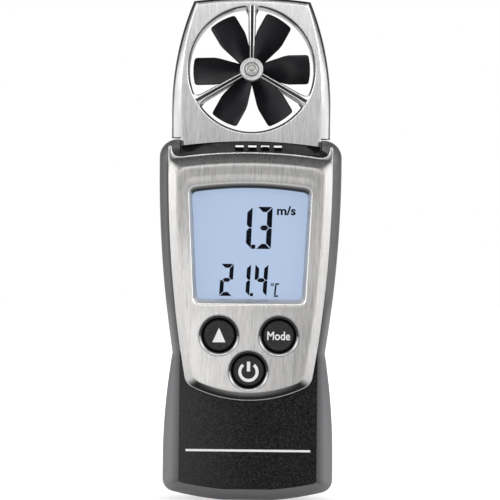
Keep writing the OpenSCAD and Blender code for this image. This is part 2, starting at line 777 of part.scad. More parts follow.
// A post of the collar that stands in the head
module head_posts(gap) {
  x = head_post[0];
  half = post_w / 2 + gap;
  deep = post_d / 2 + gap;
  box(x - half, x + half, -deep, deep, collar_bottom + collar_flange_h, head_post[1] + screw_d * 1.2 + gap);
}

// The sensor board with its bead behind one of the slots
module air_sensor() {
  bead_half = slot_w / 2 - slide_gap;
  color("#2f7a4c") union() {
    sensor_space(0);
    translate([slot_x + slot_pitch / 2, 0, 0])
      box(-bead_half, bead_half, -sensor_t, 0, sensor_top - eps, sensor_top + sensor_drop / 4);
  }
}

module sensor_ribbon() {
  top = sensor_bottom;
  fold = top - slot_pitch;
  low = fold - slot_w;
  strip = leaf_t;
  w = 2 * slot_pitch;
  y0 = board_back_y;
  y1 = -sensor_t / 2;
  color("#b98532") translate([slot_x - w / 2, 0, 0]) rotate([90, 0, 90]) linear_extrude(w)
    polygon([[y0, low], [y0 + strip, low], [y0 + strip, fold - strip], [y1 + strip, fold - strip],
      [y1 + strip, top], [y1, top], [y1, fold], [y0, fold]]);
}

// A strut that widens from the hub to the wall of the duct and flares into it
module strut(y0, y1) {
  root = hub_d / 2 - strut_hub_w / 2;
  reach = duct_r + duct_lip + seat_gap;
  flare = strut_w * 1.1;
  half = [[root, strut_hub_w / 2], [reach - flare, strut_w / 2], [reach, strut_w]];
  slab(y0, y1) polygon(concat(half, [for (i = [2 : -1 : 0]) [half[i][0], -half[i][1]]]));
}

// The groove along the outer face of a strut
module strut_groove(y0, y1) {
  slab(y0, y1) translate([hub_d / 2 + strut_groove_w, -strut_groove_w / 2])
    square([duct_r - hub_d / 2 - 4 * strut_groove_w, strut_groove_w]);
}

// Places of the struts at equal steps, the first straight up
module at_struts() {
  for (i = [0 : strut_count - 1])
    translate([0, 0, hub_h]) rotate([0, -90 - 360 * i / strut_count, 0]) children();
}

// The ring groove round the bearing in the outer face of a hub
module hub_groove(y0, y1) {
  ring_d = (hub_d + bearing_d) / 2;
  difference() {
    rod([0, hub_h], ring_d + strut_groove_w, ring_d + strut_groove_w, y0, y1);
    rod([0, hub_h], ring_d, ring_d, y0 - 1, y1 + 1);
  }
}

// Solid of a head frame; side is -1 for the front and 1 for the rear
module head_form(depth, side) {
  turns = [0, 15, 30, 45, 60, 75, 90];
  edge = depth - head_round;
  shares = concat([0], [for (a = turns) bend(a)]);
  depths = concat([0], [for (a = turns) edge + head_round * sin(a)]);
  mirror_to(side) {
    loft([for (share = shares) head_outline(share)], depths);
    loft([for (share = shares) tongue_outline(share)], depths);
  }
}

module mirror_to(side) {
  if (side < 0) mirror([0, 1, 0]) children();
  if (side > 0) children();
}

// Hollows that the two frames share
module head_hollows() {
  rod([0, hub_h], duct_d, duct_d, -far, far, $fn = 128);
  both_sides() head_posts(seat_gap);
  both_sides() post_entry(post_d / 2 + seat_gap);
  pickup_solid(seat_gap);
}

// The open side of the tongue beside a post
module post_entry(deep) {
  box(head_post[0], head_w / 2, -deep, deep, collar_bottom, head_base);
}

module head_front_frame() {
  hub_y = -head_front_d;
  groove_y = hub_y + strut_groove_w / 2;
  thread_d = screw_d + seat_gap;
  color("#c2c4c6") difference() {
    union() {
      difference() {
        head_form(head_front_d, -1);
        head_hollows();
        rod([0, hub_h], duct_d + 2 * duct_lip, duct_d, hub_y, hub_y + duct_lip, $fn = 128);
      }
      at_struts() strut(hub_y, hub_y + strut_d);
      rod([0, hub_h], hub_d, hub_d, hub_y, hub_y + hub_l);
    }
    at_struts() strut_groove(hub_y - 1, groove_y);
    hub_groove(hub_y - 1, groove_y);
    rod([0, hub_h], bearing_d + seat_gap, bearing_d + seat_gap, -far, 0);
    both_sides() rod(head_post, thread_d, thread_d, head_screw_tip_y - tip_gap, 1);
    both_sides() rod(head_screw, thread_d, thread_d, head_screw_tip_y - tip_gap, 1);
  }
}

module head_rear_frame() {
  hub_y = head_rear_d;
  groove_y = hub_y - strut_groove_w / 2;
  color("#c2c4c6") difference() {
    union() {
      difference() {
        head_form(head_rear_d, 1);
        head_hollows();
        rod([0, hub_h], duct_d, duct_d + 2 * duct_lip, hub_y - duct_lip, hub_y, $fn = 128);
      }
      at_struts() strut(hub_y - strut_d, hub_y);
      rod([0, hub_h], hub_d, hub_d, hub_y - hub_l, hub_y);
    }
    at_struts() strut_groove(groove_y, hub_y + 1);
    hub_groove(groove_y, hub_y + 1);
    rod([0, hub_h], bearing_d + seat_gap, bearing_d + seat_gap, 0, far);
    both_sides() head_screw_hole(head_post);
    both_sides() head_screw_hole(head_screw);
  }
}

module head_screw_hole(at) {
  shank_d = screw_d + 3 * seat_gap;
  sunk_d = screw_head_d + seat_gap;
  rod(at, shank_d, shank_d, -1, far);
  rod(at, sunk_d, sunk_d, head_screw_seat_y, far);
}

bearing_floor = axle_d;
front_bearing_y = -head_front_d - bezel_proud;
rear_bearing_y = head_rear_d;
impeller_y = (head_rear_d - head_front_d + bezel_proud) / 2;

// A bearing bush, closed and dished at its outer end and bored for the axle
module bearing(outer_y, inner_end_y) {
  bore = axle_d + 2 * axle_gap;
  away = outer_y < 0 ? 1 : -1;
  floor_y = outer_y + away * bearing_floor;
  dish_y = outer_y + away * strut_groove_w / 2;
  dish_d = bearing_d - 2 * strut_groove_w;
  difference() {
    rod([0, hub_h], bearing_d, bearing_d, min(outer_y, inner_end_y), max(outer_y, inner_end_y));
    rod([0, hub_h], bore, bore, min(floor_y, inner_end_y + away), max(floor_y, inner_end_y + away));
    rod([0, hub_h], dish_d, dish_d, min(outer_y - away, dish_y), max(outer_y - away, dish_y));
  }
}

module front_bearing() {
  color("#c9a24a") bearing(front_bearing_y, impeller_y - impeller_hub_l / 2 - slide_gap);
}

module rear_bearing() {
  color("#c9a24a") bearing(rear_bearing_y, impeller_y + impeller_hub_l / 2 + slide_gap);
}

// The pickup sits in the wall of the duct, low on the right
module pickup_solid(gap) {
  turn = -50;
  d = pickup_d + 2 * gap;
  r = duct_r + slide_gap + pickup_d / 2;
  deep = pickup_l / 2 + gap;
  rod([r * cos(turn), hub_h + r * sin(turn)], d, d, -deep, deep);
}

module speed_pickup() {
  color("#8a4b20") pickup_solid(0);
}

// A flat blade with a narrow root and rounded tip corners, seen square to its face
module blade() {
  r = blade_corner_r;
  c = blade_chord / 2;
  tip = tip_d / 2;
  root = impeller_hub_d / 2 - blade_t;
  low = [[root, -blade_root_chord / 2], [blade_waist_r, -c]];
  rim = concat(corner([tip - r, -c + r], r, -90, 0, 6), corner([tip - r, c - r], r, 0, 90, 6));
  high = [[blade_waist_r, c], [root, blade_root_chord / 2]];
  rotate([blade_pitch, 0, 0]) slab(-blade_t / 2, blade_t / 2) polygon(concat(low, rim, high));
}

module impeller() {
  color("#17181a") difference() {
    intersection() {
      translate([0, impeller_y, hub_h]) union() {
        for (i = [0 : blade_count - 1]) rotate([0, -blade_turn - 360 * i / blade_count, 0]) blade();
        rod([0, 0], impeller_hub_d, impeller_hub_d, -impeller_hub_l / 2, impeller_hub_l / 2);
      }
      rod([0, hub_h], tip_d, tip_d, -far, far, $fn = 128);
    }
    rod([0, hub_h], axle_d + eps * 2, axle_d + eps * 2, -far, far);
  }
}

module impeller_axle() {
  room = bearing_floor + slide_gap;
  color("#d0d2d4") rod([0, hub_h], axle_d, axle_d, front_bearing_y + room, rear_bearing_y - room);
}

// A cell with its button at one end; up is 1 or -1
module cell(x, up) {
  button_h = 1;
  can_z = up > 0 ? cell_h : cell_h + button_h;
  button_z = up > 0 ? cell_h + cell_l - button_h - eps : cell_h;
  color("#b08d3a") union() {
    translate([x, cell_y, can_z]) cylinder(h = cell_l - button_h, d = cell_d);
    translate([x, cell_y, button_z]) cylinder(h = button_h + eps, d = button_d);
  }
}

module battery_left() {
  cell(-cell_x, 1);
}

module battery_right() {
  cell(cell_x, -1);
}

// A sprung leaf folded from strip, between the end of the bay and the end of a cell
module leaf(x, end, toward) {
  strip = leaf_t;
  reach = contact_h - seat_gap / 2;
  fold = cell_y - leaf_w / 2;
  tip = cell_y + leaf_w / 2;
  profile = [[fold, 0], [tip, 0], [tip, strip], [fold + strip, strip], [fold + strip, reach - strip],
    [tip, reach - strip], [tip, reach], [fold, reach]];
  translate([x - leaf_w / 2, 0, end]) upright(toward)
    rotate([90, 0, 90]) linear_extrude(leaf_w) polygon(profile);
}

// Turns a piece that stands on its end over where it hangs
module upright(toward) {
  if (toward < 0) mirror([0, 0, 1]) children();
  if (toward > 0) children();
}

module battery_terminals() {
  color("#cfd2d4") for (x = [-cell_x, cell_x]) leaf(x, bay_top, -1);
}

module battery_link() {
  color("#cfd2d4") union() {
    for (x = [-cell_x, cell_x]) leaf(x, bay_bottom, 1);
    box(-cell_x, cell_x, cell_y - leaf_w / 2, cell_y + leaf_w / 2, bay_bottom, bay_bottom + leaf_t);
  }
}

module battery_cover() {
  groove_w = groove_pitch / 2;
  groove_half = cover_half * 0.57;
  runner_bottom = back_base_round + groove_pitch;
  runner_top = cover_top - groove_pitch;
  first = cover_top - 3 * groove_pitch;
  color("#262729") difference() {
    union() {
      intersection() {
        rear_form(0, 0);
        box(-cover_half, cover_half, cover_y, far, -far, cover_top);
      }
      both_sides()
        box(cover_half - eps, cover_half + runner_w, cover_y, cover_y + runner_t, runner_bottom, runner_top);
    }
    for (i = [0 : groove_count - 1])
      translate([0, back_y - groove_w / 2, first - i * groove_pitch])
        box(-groove_half, groove_half, 0, far, 0, groove_w);
  }
}

// A screw with a flat head and a cross recess
module screw(at, seat_y, head_t, tip_y, d, head_d) {
  slot = d / 4;
  slot_half = head_d * 0.32;
  slot_y = seat_y + head_t * 0.6;
  difference() {
    union() {
      rod(at, d, d, tip_y, seat_y + eps);
      rod(at, head_d, head_d, seat_y, seat_y + head_t);
    }
    for (turn = [0, 90])
      translate([at[0], 0, at[1]]) rotate([0, turn, 0])
        box(-slot_half, slot_half, slot_y, far, -slot / 2, slot / 2);
  }
}

module housing_screws() {
  color("#6a6c6e") for (at = [top_screw, base_screw])
    both_sides() screw(at, screw_seat_y, screw_head_t, screw_tip_y, screw_d, screw_head_d);
}

module head_screws() {
  color("#6a6c6e") for (at = [head_post, head_screw])
    both_sides() screw(at, head_screw_seat_y, screw_head_t, head_screw_tip_y, screw_d, screw_head_d);
}

module board_screws() {
  color("#6a6c6e") both_sides()
    screw(board_screw, board_back_y, board_screw_d * 0.6, board_screw_tip_y, board_screw_d, 2 * board_screw_d);
}

front_shell();
rear_shell();
face_plate();
display_window();
window_gasket();
lcd_panel();
lcd_holder();
lcd_connector();
backlight_panel();
circuit_board();
microcontroller();
key_switches();
key_bezels();
up_key();
mode_key();
power_key();
sensor_collar();
air_sensor();
sensor_ribbon();
head_front_frame();
head_rear_frame();
front_bearing();
rear_bearing();
speed_pickup();
impeller();
impeller_axle();
battery_left();
battery_right();
battery_terminals();
battery_link();
battery_cover();
housing_screws();
head_screws();
board_screws();
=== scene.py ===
import math
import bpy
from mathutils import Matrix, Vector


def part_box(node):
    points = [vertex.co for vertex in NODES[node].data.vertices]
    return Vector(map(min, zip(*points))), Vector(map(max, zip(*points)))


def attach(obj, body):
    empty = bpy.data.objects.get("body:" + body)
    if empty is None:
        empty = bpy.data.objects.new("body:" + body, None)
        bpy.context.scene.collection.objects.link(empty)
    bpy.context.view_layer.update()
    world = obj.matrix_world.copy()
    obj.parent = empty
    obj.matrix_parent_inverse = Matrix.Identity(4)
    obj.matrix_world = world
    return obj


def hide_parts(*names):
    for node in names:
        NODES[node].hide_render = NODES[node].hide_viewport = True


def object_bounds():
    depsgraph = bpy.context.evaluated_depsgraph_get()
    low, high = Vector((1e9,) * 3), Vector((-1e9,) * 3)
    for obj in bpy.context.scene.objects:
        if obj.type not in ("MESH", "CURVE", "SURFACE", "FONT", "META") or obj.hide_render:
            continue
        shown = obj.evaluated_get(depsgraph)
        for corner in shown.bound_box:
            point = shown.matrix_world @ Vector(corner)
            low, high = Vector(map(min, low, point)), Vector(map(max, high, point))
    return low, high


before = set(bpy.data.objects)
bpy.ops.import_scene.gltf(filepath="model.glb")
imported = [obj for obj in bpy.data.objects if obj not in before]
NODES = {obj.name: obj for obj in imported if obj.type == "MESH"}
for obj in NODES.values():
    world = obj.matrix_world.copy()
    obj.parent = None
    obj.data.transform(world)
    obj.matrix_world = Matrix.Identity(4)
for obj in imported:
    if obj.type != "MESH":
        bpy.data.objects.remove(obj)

from types import SimpleNamespace

import bmesh
import bpy
from bpy.props import FloatProperty, FloatVectorProperty, IntProperty, PointerProperty, StringProperty
from mathutils import Matrix, Vector

bl_info = {
    "name": "Pocket vane anemometer",
    "version": (1, 0, 0),
    "blender": (4, 5, 0),
    "location": "3D View > Sidebar > Anemometer",
    "description": "Dresses the packed frame of a pocket vane anemometer",
    "category": "Object",
}

MM = 0.001
CAD_BOX = [list(corner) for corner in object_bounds()]
# Edges sharper than this angle, in degrees, stay crisp where nothing else is said.
CREASE = 32.0
# Heights between which the flanks' tones change over from the lower face to the plate.
WAIST_FADE = (46.0, 54.0)
# Most of a noise texture's values lie in this span.
NOISE_SPAN = (0.3, 0.7)
# Colour towards which painted shade darkens a surface; it stands for what dark surroundings leave of a bright
# metal's colour.
PAINTED_SHADE_COLOUR = (0.004, 0.004, 0.004, 1.0)


def length(name, description, default):
    """A length property, given in millimetres."""
    return FloatProperty(name=name, description=description, default=default * MM, unit="LENGTH", precision=5)


def factor(name, description, default):
    """A plain number property."""
    return FloatProperty(name=name, description=description, default=default)


def degrees(name, description, default):
    """An angle property, given in degrees."""
    return FloatProperty(name=name, description=description, default=math.radians(default), unit="ROTATION")


def colour(name, description, default):
    """A linear colour property."""
    return FloatVectorProperty(
        name=name, description=description, default=default, subtype="COLOR", size=3, min=0.0, max=1.0
    )


class MeterSizes(bpy.types.PropertyGroup):
    """Sizes of the meter; the shapes share them with the solids."""

    body_w: length("Body width", "Width of the body at its widest point", 46.0)
    shoulder_h: length("Shoulder height", "Height of the shoulders above the foot", 91.0)
    shoulder_drop: length("Shoulder drop", "Drop from the shoulders to the widest point", 6.4)
    shoulder_r: length("Shoulder radius", "Radius of the shoulder corners", 4.5)
    waist_w: length("Waist width", "Width at the waist crease", 38.5)
    waist_h: length("Waist height", "Height of the waist crease", 37.2)
    base_w: length("Base width", "Width of the base at its widest point", 42.9)
    base_h: length("Base height", "Height of the widest point of the base", 10.8)
    bottom_r: length("Bottom radius", "Radius of the arched bottom edge", 78.0)
    foot_w: length("Foot width", "Width of the flat foot", 12.0)
    base_corner_r: length("Base corner", "Radius of the bottom corners", 3.3)
    wall: length("Wall", "Wall of the shells", 1.8)
    flank_w: length("Flank", "Width of the rounded flank beside the face plate", 2.3)
    waist_flank_w: length("Waist flank", "Width of the flank beside the lower face at the waist", 1.9)
    front_base_bevel: length("Base bevel", "Height of the bevel under the lower face", 3.0)
    flank_knee: factor("Flank knee", "Bend of the upper flank as a share of its depth", 0.66)
    low_knee: factor("Lower knee", "Bend of the lower flank as a share of its depth", 0.5)
    side_flat: length("Side flat", "Straight depth of the sides from the joint of the shells", 5.6)
    plate_t: length("Plate thickness", "Thickness of the face plate", 1.8)
    plate_bevel: length("Plate bevel", "Width of the bevel round the face plate", 2.4)
    plate_tail_w: length("Plate tail", "Width of the plate at its tail corners", 31.6)
    plate_tail_drop: length("Tail drop", "Height of the tail corners below the power key", 3.4)
    plate_tail_arc: length("Tail arc", "Drop of the tail arc below its corners", 4.2)
    plate_top_drop: length("Plate top", "Drop of the plate's arched top edge below the shoulders", 3.2)
    plate_ear_drop: length("Plate ears", "Drop of the plate's ears below the shoulders", 1.8)
    plate_ear_w: length("Ear width", "Width of the plate's thin ears", 0.8)
    plate_notch_w: length("Shell notch", "Width of the notch for the collar", 35.8)
    arch_r: length("Neck arch", "Radius of the arched edges at the neck", 122.0)
    display_side: length("Display side", "Distance of the display from the sides of the body", 8.35)
    display_taper: length("Display taper", "Narrowing of the display on each side", 1.45)
    display_h: length("Display height", "Height of the visible display", 27.5)
    display_arch: length("Display arch", "Rise of the display's top edge", 1.2)
    display_drop: length("Display drop", "Drop of the display below the shoulders", 12.7)
    key_d: length("Key diameter", "Diameter of a key", 8.2)
    bezel_d: length("Bezel diameter", "Outer diameter of a key bezel", 10.4)
    bezel_proud: length("Bezel height", "Height of a bezel over the face plate", 0.2)
    key_x: length("Key distance", "Distance of the upper keys from the middle", 7.5)
    key_drop: length("Key drop", "Drop of the upper keys below the display", 9.1)
    power_drop: length("Power key drop", "Drop of the power key below the upper keys", 8.84)
    head_w: length("Head width", "Width of the vane head", 40.2)
    head_h: length("Head height", "Height of the vane head", 35.5)
    neck_gap: length("Neck gap", "Gap between the shoulders and the vane head", 0.5)
    head_straight_h: length("Head sides", "Straight height of the head's sides", 7.0)
    head_side_r: length("Head side radius", "Radius of the head's sides", 73.0)
    head_top_r: length("Head top radius", "Radius of the head's top edge", 110.0)
    head_round: length("Head rounding", "Depth of the bevel round the head's faces", 2.0)
    head_side_bevel: length("Head side bevel", "Width of the bevel at the bottom of the sides", 3.2)
    head_corner_bevel: length("Head corner bevel", "Width of the bevel at the upper corners", 0.7)
    head_top_bevel: length("Head top bevel", "Width of the bevel under the top edge", 1.3)
    duct_d: length("Duct", "Diameter of the air duct", 31.5)
    hub_rise: length("Hub rise", "Height of the hub above the bottom of the head", 17.33)
    hub_d: length("Hub diameter", "Diameter of a bearing hub", 6.0)
    strut_w: length("Strut width", "Width of a strut at the duct", 2.0)
    strut_hub_w: length("Strut root", "Width of a strut at the hub", 1.4)
    tip_d: length("Blade tips", "Diameter over the blade tips", 29.7)
    blade_chord: length("Blade chord", "Chord of a blade outside its waist", 9.1)
    blade_root_chord: length("Blade root", "Chord of a blade at the hub", 3.6)
    blade_waist_r: length("Blade waist", "Radius at which a blade reaches its full chord", 9.0)
    blade_t: length("Blade thickness", "Thickness of a blade", 0.7)
    collar_w: length("Collar width", "Width of the sensor collar", 35.3)
    collar_top_drop: length("Collar drop", "Drop of the collar's top edge below the shoulders", 0.4)
    plate_top_slope: factor("Top bevel", "Width of the top bevel as a share of the side bevel", 1.25)
    blade_pitch: degrees("Blade pitch", "Pitch from the plane of rotation", 40.0)
    blade_turn: degrees("Blade turn", "Turn of the first blade", 1.5)
    blade_count: IntProperty(name="Blades", description="Number of blades", default=6, min=2)
    strut_count: IntProperty(name="Struts", description="Number of struts of a hub", default=3, min=2)


class MeterColours(bpy.types.PropertyGroup):
    """Colours of the meter's finishes."""

    shell: colour("Housing", "Satin plastic of the housing", (0.034, 0.034, 0.0355))
    face: colour("Lower face", "Grained plastic of the lower face", (0.0075, 0.0075, 0.008))
    plate: colour("Face plate", "Brushed metal of the face plate", (0.72, 0.71, 0.70))
    head: colour("Vane head", "Brushed metal of the vane head", (0.76, 0.76, 0.76))
    chrome: colour("Bezels", "Bright rings round the keys", (0.55, 0.55, 0.56))
    key: colour("Keys", "Satin keys", (0.007, 0.007, 0.0075))
    mark: colour("Marks", "White print on the keys and the lower face", (0.95, 0.95, 0.95))
    cell: colour("Display", "Pale liquid crystal cell", (0.43, 0.535, 0.72))
    segment: colour("Segments", "Dark segments of the display", (0.001, 0.002, 0.007))
    blade: colour("Impeller", "Glossy plastic of the impeller", (0.010, 0.0105, 0.0135))
    collar: colour("Collar", "Plastic of the sensor collar", (0.010, 0.010, 0.010))
    steel: colour("Steel", "Turned and plated steel", (0.55, 0.55, 0.54))
    wrap: colour("Cells", "Plain wrap of the cells", (0.05, 0.07, 0.10))
    floor: colour("Floor", "Pale studio floor", (0.60, 0.60, 0.60))


class MeterWords(bpy.types.PropertyGroup):
    """What the display and the keys show."""

    upper: StringProperty(name="Upper value", description="Upper value on the display", default="1.3")
    upper_unit: StringProperty(name="Upper unit", description="Unit of the upper value", default="m/s")
    lower: StringProperty(name="Lower value", description="Lower value on the display", default="21.4")
    key_word: StringProperty(name="Key word", description="Word on the right key", default="Mode")


def sizes():
    """All sizes in millimetres, with the places that follow from them."""
    group = bpy.context.scene.meter_sizes
    d = SimpleNamespace()
    for name in MeterSizes.__annotations__:
        value = getattr(group, name)
        is_length = group.bl_rna.properties[name].unit == "LENGTH"
        setattr(d, name, value / MM if is_length else value)
    d.plate_y = CAD_BOX[0][1] / MM + d.bezel_proud
    d.face_y = d.plate_y + d.plate_t
    d.inner_y = d.face_y + d.wall
    d.widest_h = d.shoulder_h - d.shoulder_drop
    d.display_top = d.shoulder_h - d.display_drop
    d.display_bottom = d.display_top - d.display_h
    d.display_top_w = d.body_w - 2 * d.display_side
    d.display_bottom_w = d.display_top_w - 2 * d.display_taper
    d.key_h = d.display_bottom - d.key_drop
    d.power_h = d.key_h - d.power_drop
    d.tail_h = d.power_h - d.plate_tail_drop
    d.plate_top = d.shoulder_h - d.plate_top_drop
    d.ear_h = d.shoulder_h - d.plate_ear_drop
    d.notch_h = d.plate_top - d.plate_t / 3
    d.cavity_top = d.notch_h - d.wall
    d.collar_top = d.shoulder_h - d.collar_top_drop
    d.head_base = d.shoulder_h + d.neck_gap
    d.head_top = d.head_base + d.head_h
    d.hub_h = d.head_base + d.hub_rise
    d.arc_h = d.head_base + d.head_straight_h
    d.face_half = d.waist_w / 2 - d.waist_flank_w
    d.plate_half = d.body_w / 2 - d.flank_w
    d.keys = [(-d.key_x, d.key_h), (d.key_x, d.key_h), (0.0, d.power_h)]
    d.head_front_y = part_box("head_front_frame")[0].y / MM
    return d


def steps(start, end, count):
    """Evenly spaced values with both ends."""
    return [start + (end - start) * i / count for i in range(count + 1)]


def blend(a, b, share):
    """A value between two others."""
    return a + (b - a) * share


def sagitta(radius, run):
    """How far an arc falls over a run from its crest."""
    return radius - math.sqrt(max(radius * radius - run * run, 0.0))


def arc_radius(rise, run):
    """Radius of the arc with a given rise over a run from its crest."""
    return (rise * rise + run * run) / (2 * rise)


def smooth(low, high, value):
    """A soft step from 0 to 1."""
    t = min(max((value - low) / (high - low), 0.0), 1.0)
    return t * t * (3 - 2 * t)


def bezier(a, b, c, count):
    """Points of a quadratic curve, with both ends."""
    points = []
    for t in steps(0.0, 1.0, count):
        u = 1.0 - t
        points.append(tuple(u * u * a[k] + 2 * u * t * b[k] + t * t * c[k] for k in range(len(a))))
    return points


def softened(points, reach, count=5):
    """A path with its inner corners rounded; reach is how far each rounding goes."""
    result = [points[0]]
    for i in range(1, len(points) - 1):
        corner = Vector(points[i])
        before = Vector(points[i - 1]) - corner
        after = Vector(points[i + 1]) - corner
        step_in = min(reach, before.length * 0.49)
        step_out = min(reach, after.length * 0.49)
        start = corner + before.normalized() * step_in
        end = corner + after.normalized() * step_out
        result += bezier(tuple(start), tuple(corner), tuple(end), count)
    result.append(points[-1])
    return result


def finer(path, reach):
    """A path with points added so that no step is longer than reach."""
    result = [path[0]]
    for a, b in zip(path, path[1:]):
        count = max(math.ceil(math.dist(a, b) / reach), 1)
        result += [(blend(a[0], b[0], t), blend(a[1], b[1], t)) for t in steps(0.0, 1.0, count)[1:]]
    return result


def mirrored(half):
    """Right half of an outline joined to its mirror image; a middle point is kept once."""
    first = 1 if abs(half[0][0]) < 1e-6 else 0
    last = len(half) - 1 if abs(half[-1][0]) < 1e-6 else len(half)
    return half + [(-x, z) for x, z in reversed(half[first:last])]


def arc(centre, radius, turns):
    """Points round a centre at the given turns."""
    return [(centre[0] + radius * math.cos(a), centre[1] + radius * math.sin(a)) for a in turns]


def circle(centre, radius, count=96):
    """A circle's outline."""
    return arc(centre, radius, [math.tau * i / count for i in range(count)])


def rectangle(x0, z0, x1, z1):
    """A rectangle's outline between two corners."""
    return [(x0, z0), (x1, z0), (x1, z1), (x0, z1)]


class Form:
    """Gathers the rings, strips and caps of one closed mesh, in millimetres."""

    def __init__(self):
        self.bm = bmesh.new()
        self.shade = self.bm.verts.layers.float.new("shade")

    def ring(self, outline, y, shades=()):
        """Points of an outline at one depth, with painted shades."""
        verts = [self.bm.verts.new((x, y, z)) for x, z in outline]
        for vert, shade in zip(verts, shades):
            vert[self.shade] = shade
        return verts

    def loop(self, points):
        """Points anywhere in space."""
        return [self.bm.verts.new(p) for p in points]

    def strip(self, a, b):
        """Faces between two closed rings."""
        count = len(a)
        for i in range(count):
            j = (i + 1) % count
            self.bm.faces.new((a[i], a[j], b[j], b[i]))

    def skin(self, rings):
        """Faces along a row of rings."""
        for a, b in zip(rings, rings[1:]):
            self.strip(a, b)

    def cap(self, *loops):
        """A flat face inside the first loop with the others as holes."""
        edges = []
        for loop in loops:
            for i, vert in enumerate(loop):
                other = loop[(i + 1) % len(loop)]
                edge = self.bm.edges.get((vert, other))
                edges.append(edge if edge else self.bm.edges.new((vert, other)))
        bmesh.ops.triangle_fill(self.bm, use_beauty=True, use_dissolve=False, edges=edges)

    def wall(self, outline, y0, y1, shade=0.0):
        """A hole's wall between two depths."""
        a = self.ring(outline, y0, [shade] * len(outline))
        b = self.ring(outline, y1, [shade] * len(outline))
        self.strip(a, b)
        return a, b

    def lathe(self, profile, centre, count=96):
        """A profile of radius and depth turned about an axis along the depth, closed at both ends."""
        rings = []
        for radius, y in profile:
            if radius < 1e-6:
                rings.append([self.bm.verts.new((centre[0], y, centre[1]))])
            else:
                rings.append(self.ring(circle(centre, radius, count), y))
        for a, b in zip(rings, rings[1:]):
            if len(a) == 1:
                for i in range(count):
                    self.bm.faces.new((a[0], b[i], b[(i + 1) % count]))
            elif len(b) == 1:
                for i in range(count):
                    self.bm.faces.new((b[0], a[(i + 1) % count], a[i]))
            else:
                self.strip(a, b)
        return rings

    def slab(self, outline, y0, y1):
        """A closed plate between two depths."""
        a = self.ring(outline, y0)
        b = self.ring(outline, y1)
        self.strip(a, b)
        self.cap(a)
        self.cap(b)

    def grid(self, rows, shades):
        """A closed tube of rows with capped ends; the shades go round each row."""
        loops = [self.loop(row) for row in rows]
        for loop in loops:
            for vert, shade in zip(loop, shades):
                vert[self.shade] = shade
        self.skin(loops)
        self.bm.faces.new(loops[0])
        self.bm.faces.new(list(reversed(loops[-1])))

    def piece(self, name, angle=CREASE):
        """The form as an object."""
        return finished(self.bm, name, angle)


def mesh_of(bm, name):
    """A new mesh from a working one, which is freed."""
    mesh = bpy.data.meshes.new(name)
    bm.to_mesh(mesh)
    bm.free()
    return mesh


def linked(name, data):
    """A new object in the scene."""
    obj = bpy.data.objects.new(name, data)
    bpy.context.scene.collection.objects.link(obj)
    return obj


def finished(bm, name, angle=CREASE):
    """An object from a working mesh in millimetres, with edges sharper than the angle kept crisp."""
    bmesh.ops.remove_doubles(bm, verts=bm.verts[:], dist=1e-4)
    bmesh.ops.recalc_face_normals(bm, faces=bm.faces[:])
    bmesh.ops.scale(bm, vec=(MM, MM, MM), verts=bm.verts[:])
    return shaded(mesh_of(bm, name), name, angle)


def baked(obj, name):
    """The evaluated object as a new plain object."""
    graph = bpy.context.evaluated_depsgraph_get()
    final = obj.evaluated_get(graph)
    mesh = bpy.data.meshes.new_from_object(final, preserve_all_data_layers=True, depsgraph=graph)
    mesh.name = name
    old = obj.data
    bpy.data.objects.remove(obj)
    if old.users == 0 and isinstance(old, bpy.types.Mesh):
        bpy.data.meshes.remove(old)
    return linked(name, mesh)


def shaded(mesh, name, angle=CREASE, bevel=0.0):
    """An object with smooth faces, crisp edges and normals weighted by face area."""
    mesh.shade_smooth()
    mesh.set_sharp_from_angle(angle=math.radians(angle))
    obj = linked(name, mesh)
    if bevel:
        mod = obj.modifiers.new("Edges", "BEVEL")
        mod.width = bevel * MM
        mod.segments = 2
        mod.limit_method = "ANGLE"
        mod.angle_limit = math.radians(40.0)
        mod.harden_normals = False
    weight = obj.modifiers.new("Normals", "WEIGHTED_NORMAL")
    weight.mode = "FACE_AREA"
    weight.keep_sharp = True
    return baked(obj, name)


def split_long(bm, reach):
    """Splits long edges, so that the shading beside a hole stays close to it."""
    for _ in range(7):
        edges = [e for e in bm.edges if e.calc_length() > reach * MM]
        if not edges:
            break
        bmesh.ops.subdivide_edges(bm, edges=edges, cuts=1)
        bmesh.ops.triangulate(bm, faces=[f for f in bm.faces if len(f.verts) > 3])


def node_copy(node, name, angle=CREASE, bevel=0.0, reach=0.0):
    """A merged copy of a solid with smooth faces, and its edges rounded when a bevel is given."""
    mesh = NODES[node].data.copy()
    bm = bmesh.new()
    bm.from_mesh(mesh)
    bmesh.ops.remove_doubles(bm, verts=bm.verts[:], dist=2e-6)
    bmesh.ops.dissolve_degenerate(bm, edges=bm.edges[:], dist=1e-6)
    if reach:
        split_long(bm, reach)
    bm.to_mesh(mesh)
    bm.free()
    return shaded(mesh, name, angle, bevel)


def settle(obj, material, body, slot, *nodes):
    """Gives a piece its material, its body and the solids it stands for."""
    obj.data.materials.clear()
    obj.data.materials.append(material)
    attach(obj, body)
    if nodes:
        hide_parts(*nodes)
    return obj


def dress(node, material):
    """A solid that stays as it is, with a finish."""
    data = NODES[node].data
    data.materials.clear()
    data.materials.append(material)


